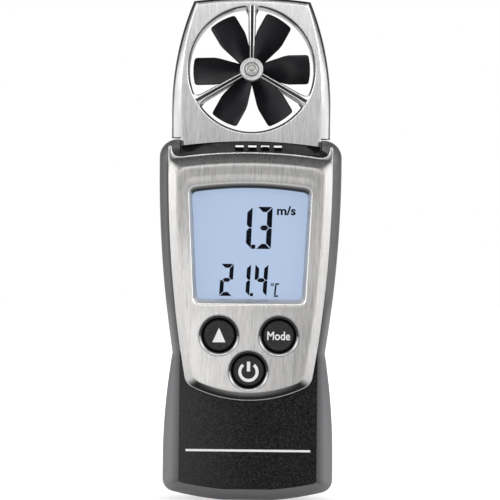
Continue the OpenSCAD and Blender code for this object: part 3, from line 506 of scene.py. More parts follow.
def copies_tree():
    """A node tree with a copy of a piece on each point, each turned a step further about the depth."""
    tree = bpy.data.node_groups.new("Copies on points", "GeometryNodeTree")
    for label, kind in (
        ("Geometry", "Geometry"),
        ("Piece", "Object"),
        ("Turn step", "Float"),
        ("First turn", "Float"),
        ("Material", "Material"),
    ):
        tree.interface.new_socket(label, in_out="INPUT", socket_type="NodeSocket" + kind)
    tree.interface.new_socket("Geometry", in_out="OUTPUT", socket_type="NodeSocketGeometry")
    given = tree.nodes.new("NodeGroupInput").outputs
    end = tree.nodes.new("NodeGroupOutput")
    info = tree.nodes.new("GeometryNodeObjectInfo")
    on_points = tree.nodes.new("GeometryNodeInstanceOnPoints")
    index = tree.nodes.new("GeometryNodeInputIndex")
    angle = tree.nodes.new("ShaderNodeMath")
    angle.operation = "MULTIPLY_ADD"
    spin = tree.nodes.new("ShaderNodeCombineXYZ")
    real = tree.nodes.new("GeometryNodeRealizeInstances")
    finish = tree.nodes.new("GeometryNodeSetMaterial")
    for output, socket in (
        (given["Geometry"], on_points.inputs["Points"]),
        (given["Piece"], info.inputs["Object"]),
        (info.outputs["Geometry"], on_points.inputs["Instance"]),
        (index.outputs[0], angle.inputs[0]),
        (given["Turn step"], angle.inputs[1]),
        (given["First turn"], angle.inputs[2]),
        (angle.outputs[0], spin.inputs["Y"]),
        (spin.outputs[0], on_points.inputs["Rotation"]),
        (on_points.outputs[0], real.inputs[0]),
        (real.outputs[0], finish.inputs["Geometry"]),
        (given["Material"], finish.inputs["Material"]),
        (finish.outputs[0], end.inputs[0]),
    ):
        tree.links.new(output, socket)
    return tree


def copies(name, piece, material, points, turn_step=0.0, first_turn=0.0):
    """Copies of a temporary piece on points, as one mesh; the piece is removed."""
    tree = copies_tree()
    mesh = bpy.data.meshes.new(name)
    mesh.from_pydata([tuple(c * MM for c in p) for p in points], [], [])
    obj = linked(name, mesh)
    mod = obj.modifiers.new("Copies", "NODES")
    mod.node_group = tree
    values = {"Piece": piece, "Turn step": turn_step, "First turn": first_turn, "Material": material}
    for item in tree.interface.items_tree:
        if item.in_out == "INPUT" and item.name in values:
            mod[item.identifier] = values[item.name]
    result = baked(obj, name)
    bpy.data.objects.remove(piece)
    bpy.data.node_groups.remove(tree)
    return result


def ring_of(name, piece, material, count, centre, first_turn):
    """Copies of a piece, evenly turned about an axis along the depth."""
    return copies(name, piece, material, [centre] * count, -math.tau / count, first_turn)


def joined(name, *objects):
    """One object from several that share a material."""
    bm = bmesh.new()
    for obj in objects:
        bm.from_mesh(obj.data)
        bpy.data.objects.remove(obj)
    return shaded(mesh_of(bm, name), name)


# Finishes


class Wiring:
    """Short ways to add nodes to a shader tree."""

    def __init__(self, tree):
        self.nodes = tree.nodes
        self.links = tree.links

    def put(self, socket, value):
        """Gives an input a value or another node's output."""
        if isinstance(value, bpy.types.NodeSocket):
            self.links.new(value, socket)
        else:
            socket.default_value = value

    def between(self, value, low, high, out_low=0.0, out_high=1.0, kind="LINEAR"):
        """A value carried from one span to another and held at its ends."""
        node = self.nodes.new("ShaderNodeMapRange")
        node.interpolation_type = kind
        self.put(node.inputs["Value"], value)
        self.put(node.inputs["From Min"], low)
        self.put(node.inputs["From Max"], high)
        self.put(node.inputs["To Min"], out_low)
        self.put(node.inputs["To Max"], out_high)
        return node.outputs[0]

    def maths(self, operation, a, b=0.0):
        """The result of a sum on two values."""
        node = self.nodes.new("ShaderNodeMath")
        node.operation = operation
        self.put(node.inputs[0], a)
        self.put(node.inputs[1], b)
        return node.outputs[0]

    def mix(self, share, a, b, kind="RGBA"):
        """A mix of two colours, or of two numbers with the kind FLOAT."""
        node = self.nodes.new("ShaderNodeMix")
        node.data_type = kind
        first = 6 if kind == "RGBA" else 2
        self.put(node.inputs[0], share)
        self.put(node.inputs[first], a)
        self.put(node.inputs[first + 1], b)
        return node.outputs[2 if kind == "RGBA" else 0]

    def split(self, vector):
        """The three parts of a vector."""
        node = self.nodes.new("ShaderNodeSeparateXYZ")
        self.put(node.inputs[0], vector)
        return node.outputs


class Finish(Wiring):
    """A material whose nodes read object coordinates."""

    def __init__(self, name, base, metallic=0.0, roughness=0.5):
        self.material = bpy.data.materials.new(name)
        self.material.use_nodes = True
        super().__init__(self.material.node_tree)
        self.shader = self.nodes["Principled BSDF"]
        self.base = tuple(base)
        self.set("Base Color", self.scaled(1.0))
        self.set("Metallic", metallic)
        self.set("Roughness", roughness)
        self.coords = self.nodes.new("ShaderNodeTexCoord").outputs["Object"]

    def set(self, socket, value):
        """Gives an input of the shader a value or a node's output."""
        self.put(self.shader.inputs[socket], value)

    def scaled(self, share):
        """The base colour times a share."""
        return tuple(min(c * share, 1.0) for c in self.base) + (1.0,)

    def noise(self, scale, detail=3.0, stretch=(1.0, 1.0, 1.0)):
        """Noise in object coordinates."""
        place = self.nodes.new("ShaderNodeMapping")
        self.put(place.inputs["Scale"], stretch)
        self.put(place.inputs["Vector"], self.coords)
        tex = self.nodes.new("ShaderNodeTexNoise")
        self.put(tex.inputs["Scale"], scale)
        self.put(tex.inputs["Detail"], detail)
        self.put(tex.inputs["Roughness"], 0.6)
        self.put(tex.inputs["Vector"], place.outputs[0])
        return tex.outputs["Fac"]

    def spread(self, noise, low, high):
        """A noise that runs between two levels."""
        return self.between(noise, NOISE_SPAN[0], NOISE_SPAN[1], low, high)

    def wear(self, noise, low, high, cloud, change):
        """Roughness between two levels, with a slow change."""
        slow = self.spread(cloud, -change, change)
        self.set("Roughness", self.maths("ADD", self.spread(noise, low, high), slow))

    def tint(self, value, low, high):
        """Base colour scaled between two shares by a value from 0 to 1."""
        tone = self.mix(value, self.scaled(low), self.scaled(high))
        self.set("Base Color", tone)
        return tone

    def shade(self):
        """The shade stored on the mesh."""
        node = self.nodes.new("ShaderNodeAttribute")
        node.attribute_name = "shade"
        return node.outputs["Fac"]

    def darken(self, tone, strength):
        """Darkens a colour by the painted shade stored on the mesh."""
        self.set("Base Color", self.mix(self.maths("MULTIPLY", self.shade(), strength), tone, PAINTED_SHADE_COLOUR))

    def bump(self, height, distance, strength):
        """Fine relief, with its distance in millimetres."""
        node = self.nodes.new("ShaderNodeBump")
        self.put(node.inputs["Strength"], strength)
        self.put(node.inputs["Distance"], distance * MM)
        self.put(node.inputs["Height"], height)
        self.set("Normal", node.outputs[0])


def brushed(name, base, roughness, depth, across, sides, along, heights):
    """Metal brushed along the height on its flat faces, with painted light as a slow change of tone, and
    painted shade from the mesh.

    The painted light changes the tone by across from right to left, fully at the second of the two heights in
    sides, and from the first to the second value of along between the two heights in heights.
    """
    f = Finish(name, base, 1.0, roughness)
    fine = f.noise(4600.0, 3.0, (1.0, 1.0, 0.06))
    broad = f.noise(1500.0, 2.0, (1.0, 1.0, 0.03))
    mixed = f.maths("ADD", f.maths("MULTIPLY", fine, 0.72), f.maths("MULTIPLY", broad, 0.28))
    normal = f.split(f.nodes.new("ShaderNodeNewGeometry").outputs["Normal"])
    ahead = f.maths("ABSOLUTE", normal["Y"])
    flat = f.between(ahead, 0.5, 0.95, 0.2, 1.0)
    level = f.between(ahead, 0.9, 0.99)
    streaks = f.maths("MULTIPLY", f.between(mixed, 0.34, 0.66, -0.16, 0.16), flat)
    # Painted light: a slow gradient across and along the height on flat faces only; bevels get an even tone a
    # little lighter than the flat faces.
    place = f.split(f.coords)
    side = f.between(place["X"], 20 * MM, -20 * MM, -across, across)
    share = f.between(place["Z"], sides[0] * MM, sides[1] * MM, 0.05, 0.8)
    rise = f.between(place["Z"], heights[0] * MM, heights[1] * MM, along[0], along[1])
    slow = f.maths("ADD", f.maths("MULTIPLY", side, share), rise)
    slow = f.maths("ADD", f.maths("MULTIPLY", slow, level), f.between(level, 0.0, 1.0, 0.61, 0.555))
    # Painted shade stored on the mesh darkens the tone.
    f.darken(f.tint(f.maths("ADD", streaks, slow), 0.45, 1.3), 0.97)
    worn = f.between(mixed, 0.35, 0.65, roughness - 0.07, roughness + 0.07)
    f.set("Roughness", f.maths("ADD", worn, f.spread(f.noise(70.0, 2.0), -0.02, 0.02)))
    f.bump(f.maths("MULTIPLY", fine, flat), depth, 0.6)
    f.set("Anisotropic", 0.55)
    return f.material


def moulded(name, base, roughness, grain, depth, specular=0.5):
    """Plastic with a fine eroded texture and faint speckle."""
    f = Finish(name, base, 0.0, roughness)
    grit = f.noise(grain, 4.0)
    f.tint(f.between(f.noise(grain * 1.2, 1.5), 0.46, 0.72), 0.4, 5.0)
    f.wear(grit, roughness - 0.06, roughness + 0.08, f.noise(55.0), 0.03)
    f.bump(grit, depth, 0.7)
    f.set("Specular IOR Level", specular)
    return f.material


def grained_shell(name, base, face):
    """Satin plastic with painted light on the front flanks; where the mesh's shade is set it is the darker,
    finely grained face, with painted light towards its left.
    """
    f = Finish(name, base, 0.0, 0.36)
    grit = f.noise(3000.0, 4.0)
    speckle = f.noise(3300.0)
    place = f.split(f.coords)
    # Painted light: the flanks get lighter towards the front, earlier below the waist.
    below = f.between(place["Z"], WAIST_FADE[1] * MM, WAIST_FADE[0] * MM)
    painted_light_low_flank = f.between(place["Y"], -4.5 * MM, -6.5 * MM, 0.0, 0.95)
    ahead = f.between(place["Y"], -5.0 * MM, -9.0 * MM, 0.0, 0.44)
    ahead = f.maths("MAXIMUM", ahead, f.maths("MULTIPLY", painted_light_low_flank, below))
    satin = f.tint(f.maths("ADD", f.between(speckle, 0.35, 0.65, 0.0, 0.27), ahead), 0.55, 4.2)
    grain = f.between(speckle, 0.36, 0.68)
    # Painted light: the grained face gets lighter towards the left.
    left = f.between(place["X"], 3.0 * MM, -18.0 * MM, 0.0, 0.85)
    light = f.maths("ADD", f.maths("POWER", grain, 2.0), f.maths("POWER", left, 1.5))
    dark = f.mix(light, tuple(v * 0.15 for v in face) + (1.0,), tuple(v * 5.6 for v in face) + (1.0,))
    shade = f.shade()
    f.set("Base Color", f.mix(shade, satin, dark))
    f.set("Specular IOR Level", f.between(shade, 0.0, 1.0, 1.0, 0.12))
    f.wear(grit, 0.3, 0.44, f.noise(55.0), 0.03)
    f.bump(grit, 0.05, 0.7)
    return f.material


def polished(name, base, roughness):
    """Bright plating with faint haze, darkened where the mesh holds painted shade."""
    f = Finish(name, base, 1.0, roughness)
    haze = f.noise(240.0)
    f.set("Roughness", f.spread(haze, max(roughness - 0.03, 0.02), roughness + 0.05))
    f.darken(f.tint(haze, 0.94, 1.04), 0.94)
    return f.material


def smooth_plastic(name, base, roughness):
    """Glossy moulding with soft flow marks."""
    f = Finish(name, base, 0.0, roughness)
    flow = f.noise(160.0, 2.0, (1.0, 1.0, 0.4))
    fine = f.noise(3800.0, 2.0)
    f.wear(flow, roughness - 0.05, roughness + 0.05, fine, 0.02)
    f.tint(flow, 0.85, 1.2)
    f.bump(fine, 0.002, 0.4)
    return f.material


def printed(name, base, specular=0.3):
    """Screen print, slightly uneven in cover."""
    f = Finish(name, base, 0.0, 0.55)
    f.set("Specular IOR Level", specular)
    cover = f.noise(2600.0, 2.0)
    f.tint(f.spread(cover, 0.0, 1.0), 0.93, 1.03)
    f.set("Roughness", f.spread(cover, 0.48, 0.6))
    return f.material


def clear_window(name, base):
    """Clear scratch-resistant sheet."""
    f = Finish(name, base, 0.0, 0.04)
    smear = f.noise(90.0)
    f.set("Roughness", f.spread(smear, 0.02, 0.07))
    f.tint(smear, 0.98, 1.0)
    f.set("Alpha", 0.05)
    f.material.blend_method = "BLEND"
    return f.material


def display_cell_with_painted_glow(name, base):
    """Reflective cell lit from within by a painted glow, so the shade of its recess hardly shows."""
    f = Finish(name, base, 0.0, 0.5)
    cloud = f.noise(45.0, 2.0)
    grain = f.noise(6000.0, 1.0)
    # Painted glow: the cell's own colour is dimmed and the glow gives most of its brightness, though it is no
    # lamp.
    painted_glow = f.maths("ADD", f.maths("MULTIPLY", cloud, 0.8), f.maths("MULTIPLY", grain, 0.2))
    f.set("Emission Color", f.tint(painted_glow, 0.97, 1.03))
    f.tint(cloud, 0.34, 0.36)
    f.set("Emission Strength", 0.9)
    f.set("Specular IOR Level", 0.2)
    return f.material


# Painted light as slow changes of tone: across, with its heights, and along the height, with its heights.
PLATE_PAINTED_LIGHT = (0.64, (70, 43), (-0.46, 0.05), (88, 58))
HEAD_PAINTED_LIGHT = (-0.12, (91, 125), (-0.22, 0.18), (91, 125))


def finishes():
    """Materials of the visible and inner pieces, each made once."""
    c = bpy.context.scene.meter_colours
    recipes = {
        "shell": (grained_shell, "Housing plastic", c.shell, c.face),
        "plate": (brushed, "Brushed face plate", c.plate, 0.33, 0.005, *PLATE_PAINTED_LIGHT),
        "head": (brushed, "Brushed vane head", c.head, 0.31, 0.004, *HEAD_PAINTED_LIGHT),
        "strut": (polished, "Polished struts", c.head, 0.14),
        "chrome": (polished, "Bright bezels", c.chrome, 0.07),
        "key": (moulded, "Satin keys", c.key, 0.42, 3600.0, 0.012, 0.4),
        "mark": (printed, "White print", c.mark),
        "cell": (display_cell_with_painted_glow, "Pale display cell", c.cell),
        "segment": (printed, "Dark segments", c.segment, 0.05),
        "window": (clear_window, "Clear window", (0.02, 0.021, 0.022)),
        "blade": (smooth_plastic, "Glossy impeller", c.blade, 0.34),
        "collar": (moulded, "Collar plastic", c.collar, 0.4, 6000.0, 0.008),
        "steel": (polished, "Turned steel", c.steel, 0.24),
        "screw": (polished, "Blackened screws", (0.10, 0.10, 0.105), 0.3),
        "wrap": (smooth_plastic, "Cell wrap", c.wrap, 0.3),
        "rubber": (moulded, "Rubber", (0.02, 0.02, 0.02), 0.6, 4000.0, 0.006),
        "white": (moulded, "White plastic", (0.75, 0.75, 0.72), 0.45, 4000.0, 0.004),
        "board": (moulded, "Board resist", (0.02, 0.12, 0.05), 0.4, 1500.0, 0.006),
        "amber": (smooth_plastic, "Amber film", (0.5, 0.27, 0.05), 0.3),
        "copper": (polished, "Copper winding", (0.6, 0.28, 0.12), 0.3),
    }
    made = SimpleNamespace()
    for key, (make, label, *values) in recipes.items():
        found = bpy.data.materials.get(label)
        setattr(made, key, found if found else make(label, *values))
    return made


# Outlines


def upper_half(d, z):
    """Half width of the body above the waist."""
    r = arc_radius((d.body_w - d.waist_w) / 2, d.widest_h - d.waist_h)
    return d.body_w / 2 - sagitta(r, max(d.widest_h - z, 0.0))


def lower_half(d, z):
    """Half width of the body below the waist."""
    r = arc_radius((d.base_w - d.waist_w) / 2, d.waist_h - d.base_h)
    return d.base_w / 2 - sagitta(r, max(z - d.base_h, 0.0))


def plate_side(d, z):
    """Half width of the face plate."""
    r = arc_radius(d.plate_half - d.plate_tail_w / 2, d.widest_h - d.tail_h)
    return d.plate_half - sagitta(r, max(d.widest_h - z, 0.0))


def bottom_z(d, x):
    """Height of the arched bottom beside the flat foot."""
    return max(sagitta(d.bottom_r, x) - sagitta(d.bottom_r, d.foot_w / 2), 0.0)


def neck_arch(d, top, x):
    """Height of an arched edge at the neck."""
    return top - sagitta(d.arch_r, x)


def share_at(path, y):
    """Share of a flank's path that is reached at a depth."""
    for a, b in zip(path, path[1:]):
        if y <= b[1]:
            return blend(a[0], b[0], (y - a[1]) / (b[1] - a[1]))
    return path[-1][0]


def body_outline(d, inset, top, radius, share, low_inset, lift, notch=None):
    """Outline of the body at one depth; a notch is its half width and floor."""
    half = blend(d.base_w / 2, d.face_half, share) - low_inset
    c = d.base_corner_r * (1.0 - 0.7 * share)
    lean = math.asin((half - c) / d.bottom_r)
    meet = half - c + c * math.sin(lean)
    centre = (half - c, bottom_z(d, meet) + lift + c * math.cos(lean))
    points = [(x, bottom_z(d, x) + lift) for x in steps(d.foot_w / 2, meet, 14)]
    points += arc(centre, c, steps(lean - math.pi / 2, 0.0, 12)[1:])
    for z in steps(centre[1], d.waist_h, 26)[1:]:
        points.append((blend(lower_half(d, z), d.face_half, share) - low_inset, z))
    for z in steps(d.waist_h, top - radius, 34)[1:]:
        points.append((upper_half(d, z) - inset, z))
    turn = (upper_half(d, top - radius) - inset - radius, top - radius)
    end = math.pi / 2
    if notch and turn[0] < notch[0]:
        end = math.acos(min((notch[0] - turn[0]) / radius, 1.0))
    points += arc(turn, radius, steps(0.0, end, 12)[1:])
    if notch:
        points.append((notch[0], points[-1][1]))
        points += [(notch[0], z) for z in steps(points[-1][1], notch[1], 3)[1:]]
        points.append((notch[0] / 2, notch[1]))
    return mirrored(points)


def display_outline(d, side, top, bottom, radius=1.0):
    """Outline of the display with rounded corners, grown on its sides, top and bottom."""
    high = d.display_top + top
    half = d.display_top_w / 2 + side
    low = (d.display_bottom_w / 2 + side, d.display_bottom - bottom)
    arch = arc_radius(d.display_arch, half)
    lean = (half - low[0]) / (high - low[1])
    points = [(0.0, low[1]), (low[0] / 2, low[1])]
    points += bezier((low[0] - radius, low[1]), low, (low[0] + radius * lean, low[1] + radius), 6)
    points.append((blend(low[0], half, 0.5), blend(low[1], high, 0.5)))
    inner = (half - radius, high + d.display_arch - sagitta(arch, half - radius))
    points += bezier((half - radius * lean, high - radius), (half, high), inner, 6)
    points += [(x, high + d.display_arch - sagitta(arch, x)) for x in steps(half - radius, 0.0, 12)[1:]]
    return mirrored(points)


def plate_outline(d, inset):
    """Outline of the face plate, from its tail up to the thin ears and the arched top edge."""
    share = inset / d.plate_bevel
    # How far the rounding of the tail's corners goes.
    reach = 1.7
    tail_r = arc_radius(d.plate_tail_arc, d.plate_tail_w / 2)
    lift = inset * 0.95
    half = d.plate_tail_w / 2 - inset * 0.96
    top = d.plate_top - inset * d.plate_top_slope

    def tail(x):
        return d.tail_h - d.plate_tail_arc + lift + sagitta(tail_r, x)

    corner = (half, tail(half))
    end = half - reach * 0.93
    start_z = corner[1] + reach
    points = [(x, tail(x)) for x in steps(0.0, end, 22)]
    points += bezier((end, tail(end)), corner, (plate_side(d, start_z) - inset, start_z), 8)[1:]
    soft = smooth(0.0, 0.2, share)
    ear = d.ear_h
    outer = plate_side(d, ear)
    inner = outer - d.plate_ear_w
    ear_round = d.plate_ear_w * 0.5
    foot = (inner - 2.3, neck_arch(d, d.plate_top, inner - 2.3))
    ear_path = [(outer, z) for z in steps(d.cavity_top + 0.6, ear - ear_round, 4)]
    ear_path += bezier((outer, ear - ear_round), (outer, ear), (outer - ear_round, ear), 4)[1:]
    ear_path += bezier((inner + ear_round, ear), (inner, ear), (inner, ear - ear_round), 4)[1:]
    ear_path += bezier((inner, ear - ear_round), (inner - 0.05, foot[1]), foot, 10)[1:]
    turn = blend(0.6, 2.7, min(share, 1.0))
    side = plate_side(d, top) - inset
    high = neck_arch(d, top, side)
    far = (side - turn, neck_arch(d, top, side - turn))
    plain = bezier((side, high - turn), (side, high + 0.1), far, len(ear_path) - 1)
    path = [(blend(p[0], q[0], soft), blend(p[1], q[1], soft)) for p, q in zip(ear_path, plain)]
    points += [(plate_side(d, z) - inset, z) for z in steps(start_z, path[0][1], 30)[1:-1]]
    points += path
    points += [(x, neck_arch(d, top, x)) for x in steps(path[-1][0], 0.0, 20)[1:]]
    return mirrored(points)


def facing(outline):
    """Upward part of the outward direction at each point of an outline."""
    count = len(outline)
    result = []
    for i in range(count):
        before = outline[i - 1]
        after = outline[(i + 1) % count]
        run = (after[0] - before[0], after[1] - before[1])
        size = math.hypot(*run)
        result.append(-run[0] / size if size else 0.0)
    return result


def head_outline(d, share, top_share=None):
    """Outline of the vane head with a share of its bevel taken off, and maybe another share at the top."""
    top_share = share if top_share is None else top_share

    def side(z):
        return d.head_w / 2 - sagitta(d.head_side_r, max(z - d.arc_h, 0.0))

    def edge_z(x):
        return d.head_top - sagitta(d.head_top_r, x)

    def bevel(z):
        return blend(d.head_side_bevel, d.head_corner_bevel, (z - d.head_base) / d.head_h)

    reach = edge_z(side(d.head_top - 1.0))
    edge = d.head_w / 2 - share * bevel(d.head_base)
    tongue = min(d.collar_w / 2, edge - 0.05)
    points = [(x, neck_arch(d, d.collar_top + 0.05, x)) for x in steps(0.0, tongue, 24)]
    points += [(tongue, z) for z in steps(points[-1][1], d.head_base, 3)[1:]]
    points += [(x, d.head_base) for x in steps(tongue, edge, 3)[1:]]
    for z in steps(d.head_base, reach, 48)[1:]:
        drop = d.head_top_bevel * max(z - d.arc_h, 0.0) / (reach - d.arc_h)
        points.append((side(z) - share * bevel(z), z - top_share * drop))
    top_half = side(reach) - share * d.head_corner_bevel
    for k in steps(1.0, 0.0, 30)[1:]:
        points.append((top_half * k, edge_z(side(reach) * k) - top_share * d.head_top_bevel))
    return mirrored(points)


# Operators

# Room round a key.
KEY_PLAY = 0.3
# How far the plate's ears reach back onto the rounded shoulders.
EAR_BACK = 1.6
# Small bevel where the shells meet.
SEAM = 0.2
# Printed line on the lower face: left, bottom, right and top.
RULE = (-15.6, 12.47, 15.75, 13.03)


class METER_OT_shells(bpy.types.Operator):
    """Builds the two housing shells"""

    bl_idname = "meter.shells"
    bl_label = "Housing shells"

    def execute(self, context):
        d = sizes()
        m = finishes()
        notch = (d.plate_notch_w / 2, d.notch_h)
        depth = -d.face_y
        form = Form()

        def ring(inset, share, y, extra=0.0, low_share=None):
            """A ring of the outer skin, with the shade that marks the grained face or painted shade on the
            flank, or of the cavity where there is an inset.
            """
            low = extra + inset
            side = low + d.flank_w * share
            top = d.cavity_top if inset else d.shoulder_h - d.flank_w * share - extra
            radius = d.shoulder_r - inset
            lower = share if low_share is None else low_share
            lift = low + d.front_base_bevel * lower
            outline = body_outline(d, side, top, radius, lower, low, lift, None if inset else notch)
            if inset or share > 0.999:
                return form.ring(outline, y, [0.0 if inset else 1.0] * len(outline))
            # Painted shade runs from the darker face out over the flank, further below the waist than above
            # it; it is weaker right of the middle, a painted highlight, and gone on bevels that face down.
            high_painted_shade = 0.8 * smooth(0.55, 1.0, share)
            low_painted_shade = 0.7 * smooth(0.3, 1.0, lower)
            painted_shades = []
            for (x, z), up in zip(outline, facing(outline)):
                painted_shade_kept_left = 1.0 - 0.75 * smooth(0.0, 10.0, x)
                tone = blend(low_painted_shade, high_painted_shade * painted_shade_kept_left, smooth(*WAIST_FADE, z))
                painted_shades.append(tone * (1.0 - smooth(0.5, 0.85, -up)))
            return form.ring(outline, y, painted_shades)

        def bend(knee, count):
            """A flank's path of share and depth, with its bend at a share of the depth."""
            return bezier((0.0, d.side_flat), (0.1, blend(d.side_flat, depth, knee)), (1.0, depth), count)

        flank = bend(d.flank_knee, 22)
        flank.insert(-1, (0.988, blend(flank[-2][1], depth, 0.9)))
        low_flank = bend(d.low_knee, 40)
        outer = [ring(0.0, 0.0, 0.0, SEAM), ring(0.0, 0.0, -SEAM)]
        outer += [ring(0.0, share, -y, 0.0, share_at(low_flank, y)) for share, y in flank]
        deep = depth - d.wall
        flat = min(d.side_flat, deep - 2.0)
        cavity = bezier((0.0, flat), (0.1, deep - 0.8), (1.0, deep), 8)
        inner = [ring(d.wall, 0.0, 0.0)] + [ring(d.wall, share, -y) for share, y in cavity]
        form.skin(outer)
        form.skin(inner)
        form.cap(outer[0], inner[0])
        holes = [display_outline(d, 0.1, 0.1, 0.1, 0.6)]
        holes += [circle(at, d.key_d / 2 + KEY_PLAY) for at in d.keys]
        walls = [form.wall(hole, d.face_y, d.inner_y, 1.0) for hole in holes]
        form.cap(outer[-1], *[front for front, back in walls])
        form.cap(inner[-1], *[back for front, back in walls])
        front = form.piece("front_housing", 28.0)
        settle(front, m.shell, "housing", "shell_plastic", "front_shell")
        rear = node_copy("rear_shell", "rear_housing", 30.0, reach=1.2)
        settle(rear, m.shell, "housing", "shell_plastic", "rear_shell")
        rule = Form()
        rule.slab(rectangle(*RULE), d.face_y - 0.03, d.face_y + 0.05)
        line = rule.piece("printed_rule")
        settle(line, m.mark, "housing", "holder_plastic")
        return {"FINISHED"}


class METER_OT_face_plate(bpy.types.Operator):
    """Builds the bevelled face plate with its display opening and key holes"""

    bl_idname = "meter.face_plate"
    bl_label = "Face plate"

    def execute(self, context):
        d = sizes()
        m = finishes()
        form = Form()
        rim = d.face_y - 0.5
        half_way = (d.plate_bevel * 0.5, blend(rim, d.plate_y, 0.5))
        edge = softened([(0.0, d.face_y), (0.0, rim), half_way], 0.24, 4)
        crest = (d.plate_bevel, d.plate_y)
        front = softened([half_way, crest, (crest[0] + 2.0, crest[1])], 0.7, 10)[:-1]
        profile = finer(edge + front[1:], 0.15)
        rings = []
        for inset, y in profile:
            outline = plate_outline(d, inset)
            share = min(inset / d.plate_bevel, 1.0)
            strength = smooth(0.07, 0.15, share) * (1.0 - smooth(0.88, 1.0, share))
            shades = []
            for (x, _), up in zip(outline, facing(outline)):
                # Painted shade on bevels that face up or down, for the dark room they mirror, least in the
                # middle of the tail.
                middle = 1.0 - min(abs(x) / 13.0, 1.0) ** 2
                tone = blend(0.94, 0.6, share) * smooth(0.3, 0.9, up)
                tone += smooth(0.4, 0.9, -up) * (1.0 - 0.3 * middle * smooth(0.3, 0.9, share))
                shades.append(tone * strength)
            rings.append(form.ring(outline, y, shades))
        ear_x = plate_side(d, d.ear_h) - d.plate_ear_w
        for vert in rings[0]:
            beside = smooth(ear_x - 0.6, ear_x, abs(vert.co.x))
            above = smooth(d.ear_h - 4.2, d.ear_h - 1.7, vert.co.z)
            vert.co.y += EAR_BACK * beside * above
        form.skin(rings)
        lip = d.plate_y - 0.13
        slope = [(0.0, d.face_y), (0.12, d.face_y - 0.7), (0.95, lip), (1.4, lip), (2.25, d.plate_y)]
        slope = softened(slope + [(2.4, d.plate_y)], 0.4, 5)
        opening = []
        for g, y in slope:
            outline = display_outline(d, g, g * 1.55 - 0.75, g * 1.4, 1.25 + g * 0.5)
            # Painted shade on the opening's walls: darkest on the top wall, a quarter at the sides, none on
            # the bottom wall.
            deep = smooth(d.plate_y + 0.02, d.plate_y + 0.35, y)
            shades = []
            for up in facing(outline):
                shades.append(deep * (0.25 + 0.7 * smooth(0.1, 0.7, up) - 0.25 * smooth(0.2, 0.8, -up)))
            opening.append(form.ring(outline, y, shades))
        form.skin(opening)
        walls = [form.wall(circle(at, d.bezel_d / 2 + 0.05), d.plate_y, d.face_y) for at in d.keys]
        form.cap(rings[-1], opening[-1], *[front for front, back in walls])
        form.cap(rings[0], opening[0], *[back for front, back in walls])
        plate = form.piece("silver_plate", 40.0)
        settle(plate, m.plate, "housing", "plate_metal", "face_plate")
        return {"FINISHED"}


SEGMENTS = {
    "0": "abcdef", "1": "bc", "2": "abged", "3": "abgcd", "4": "fgbc", "5": "afgcd",
    "6": "afgedc", "7": "abc", "8": "abcdefg", "9": "abcdfg", ".": ".",
}
UPPER_DIGITS = {"right": 5.3, "low": 63.5, "w": 3.85, "h": 10.6, "t": 1.3, "pitch": 5.05, "slant": 0.037}
LOWER_DIGITS = {"right": 4.31, "low": 51.57, "w": 3.25, "h": 8.1, "t": 1.0, "pitch": 4.34, "slant": 0.055}
# Lower left corner of the lower value's unit.
LOWER_UNIT = (6.2, 51.45)


def segment_shapes(w, h, t, pitch):
    """Outlines of the bars and the point of a digit whose lower left corner is the origin."""
    gap = t * 0.12
    mid = h / 2
    k = t / 2
    dot_x = w + (pitch - w) * 0.5 - t * 0.4
    dot_w = t * 0.8
    top = [(gap, h), (w - gap, h), (w - t - gap, h - t), (t + gap, h - t)]
    right = [(w, h - gap), (w, mid + gap), (w - k, mid + gap * 0.4), (w - t, mid + k + gap)]
    right.append((w - t, h - t - gap))
    low_right = [(x, h - z) for x, z in right]
    over = [(k + gap, mid), (t + gap, mid + k), (w - t - gap, mid + k), (w - k - gap, mid)]
    return {
        "a": top,
        "b": right,
        "c": low_right,
        "d": [(x, h - z) for x, z in top],
        "e": [(w - x, z) for x, z in low_right],
        "f": [(w - x, z) for x, z in right],
        "g": over + [(w - t - gap, mid - k), (t + gap, mid - k)],
        ".": rectangle(dot_x, 0.0, dot_x + dot_w, dot_w),
    }


def lettering(text, centre, height, width, faces, bold):
    """A word as a flat mesh between two depths, fitted to a cap height and a width about its centre."""
    curve = bpy.data.curves.new("word", "FONT")
    curve.body = text
    curve.offset = bold
    curve.resolution_u = 4
    flat = baked(linked("word", curve), "word")
    bpy.data.curves.remove(curve)
    bm = bmesh.new()
    bm.from_mesh(flat.data)
    bpy.data.objects.remove(flat)
    xs = [v.co.x for v in bm.verts]
    zs = [v.co.y for v in bm.verts]
    middle = ((max(xs) + min(xs)) / 2, (max(zs) + min(zs)) / 2)
    scale = (width / (max(xs) - min(xs)), height / (max(zs) - min(zs)))
    for vert in bm.verts:
        x = centre[0] + (vert.co.x - middle[0]) * scale[0]
        z = centre[1] + (vert.co.y - middle[1]) * scale[1]
        vert.co = (x, faces[1], z)
    made = bmesh.ops.extrude_face_region(bm, geom=bm.faces[:])
    for item in made["geom"]:
        if isinstance(item, bmesh.types.BMVert):
            item.co.y = faces[0]
    return finished(bm, "word")


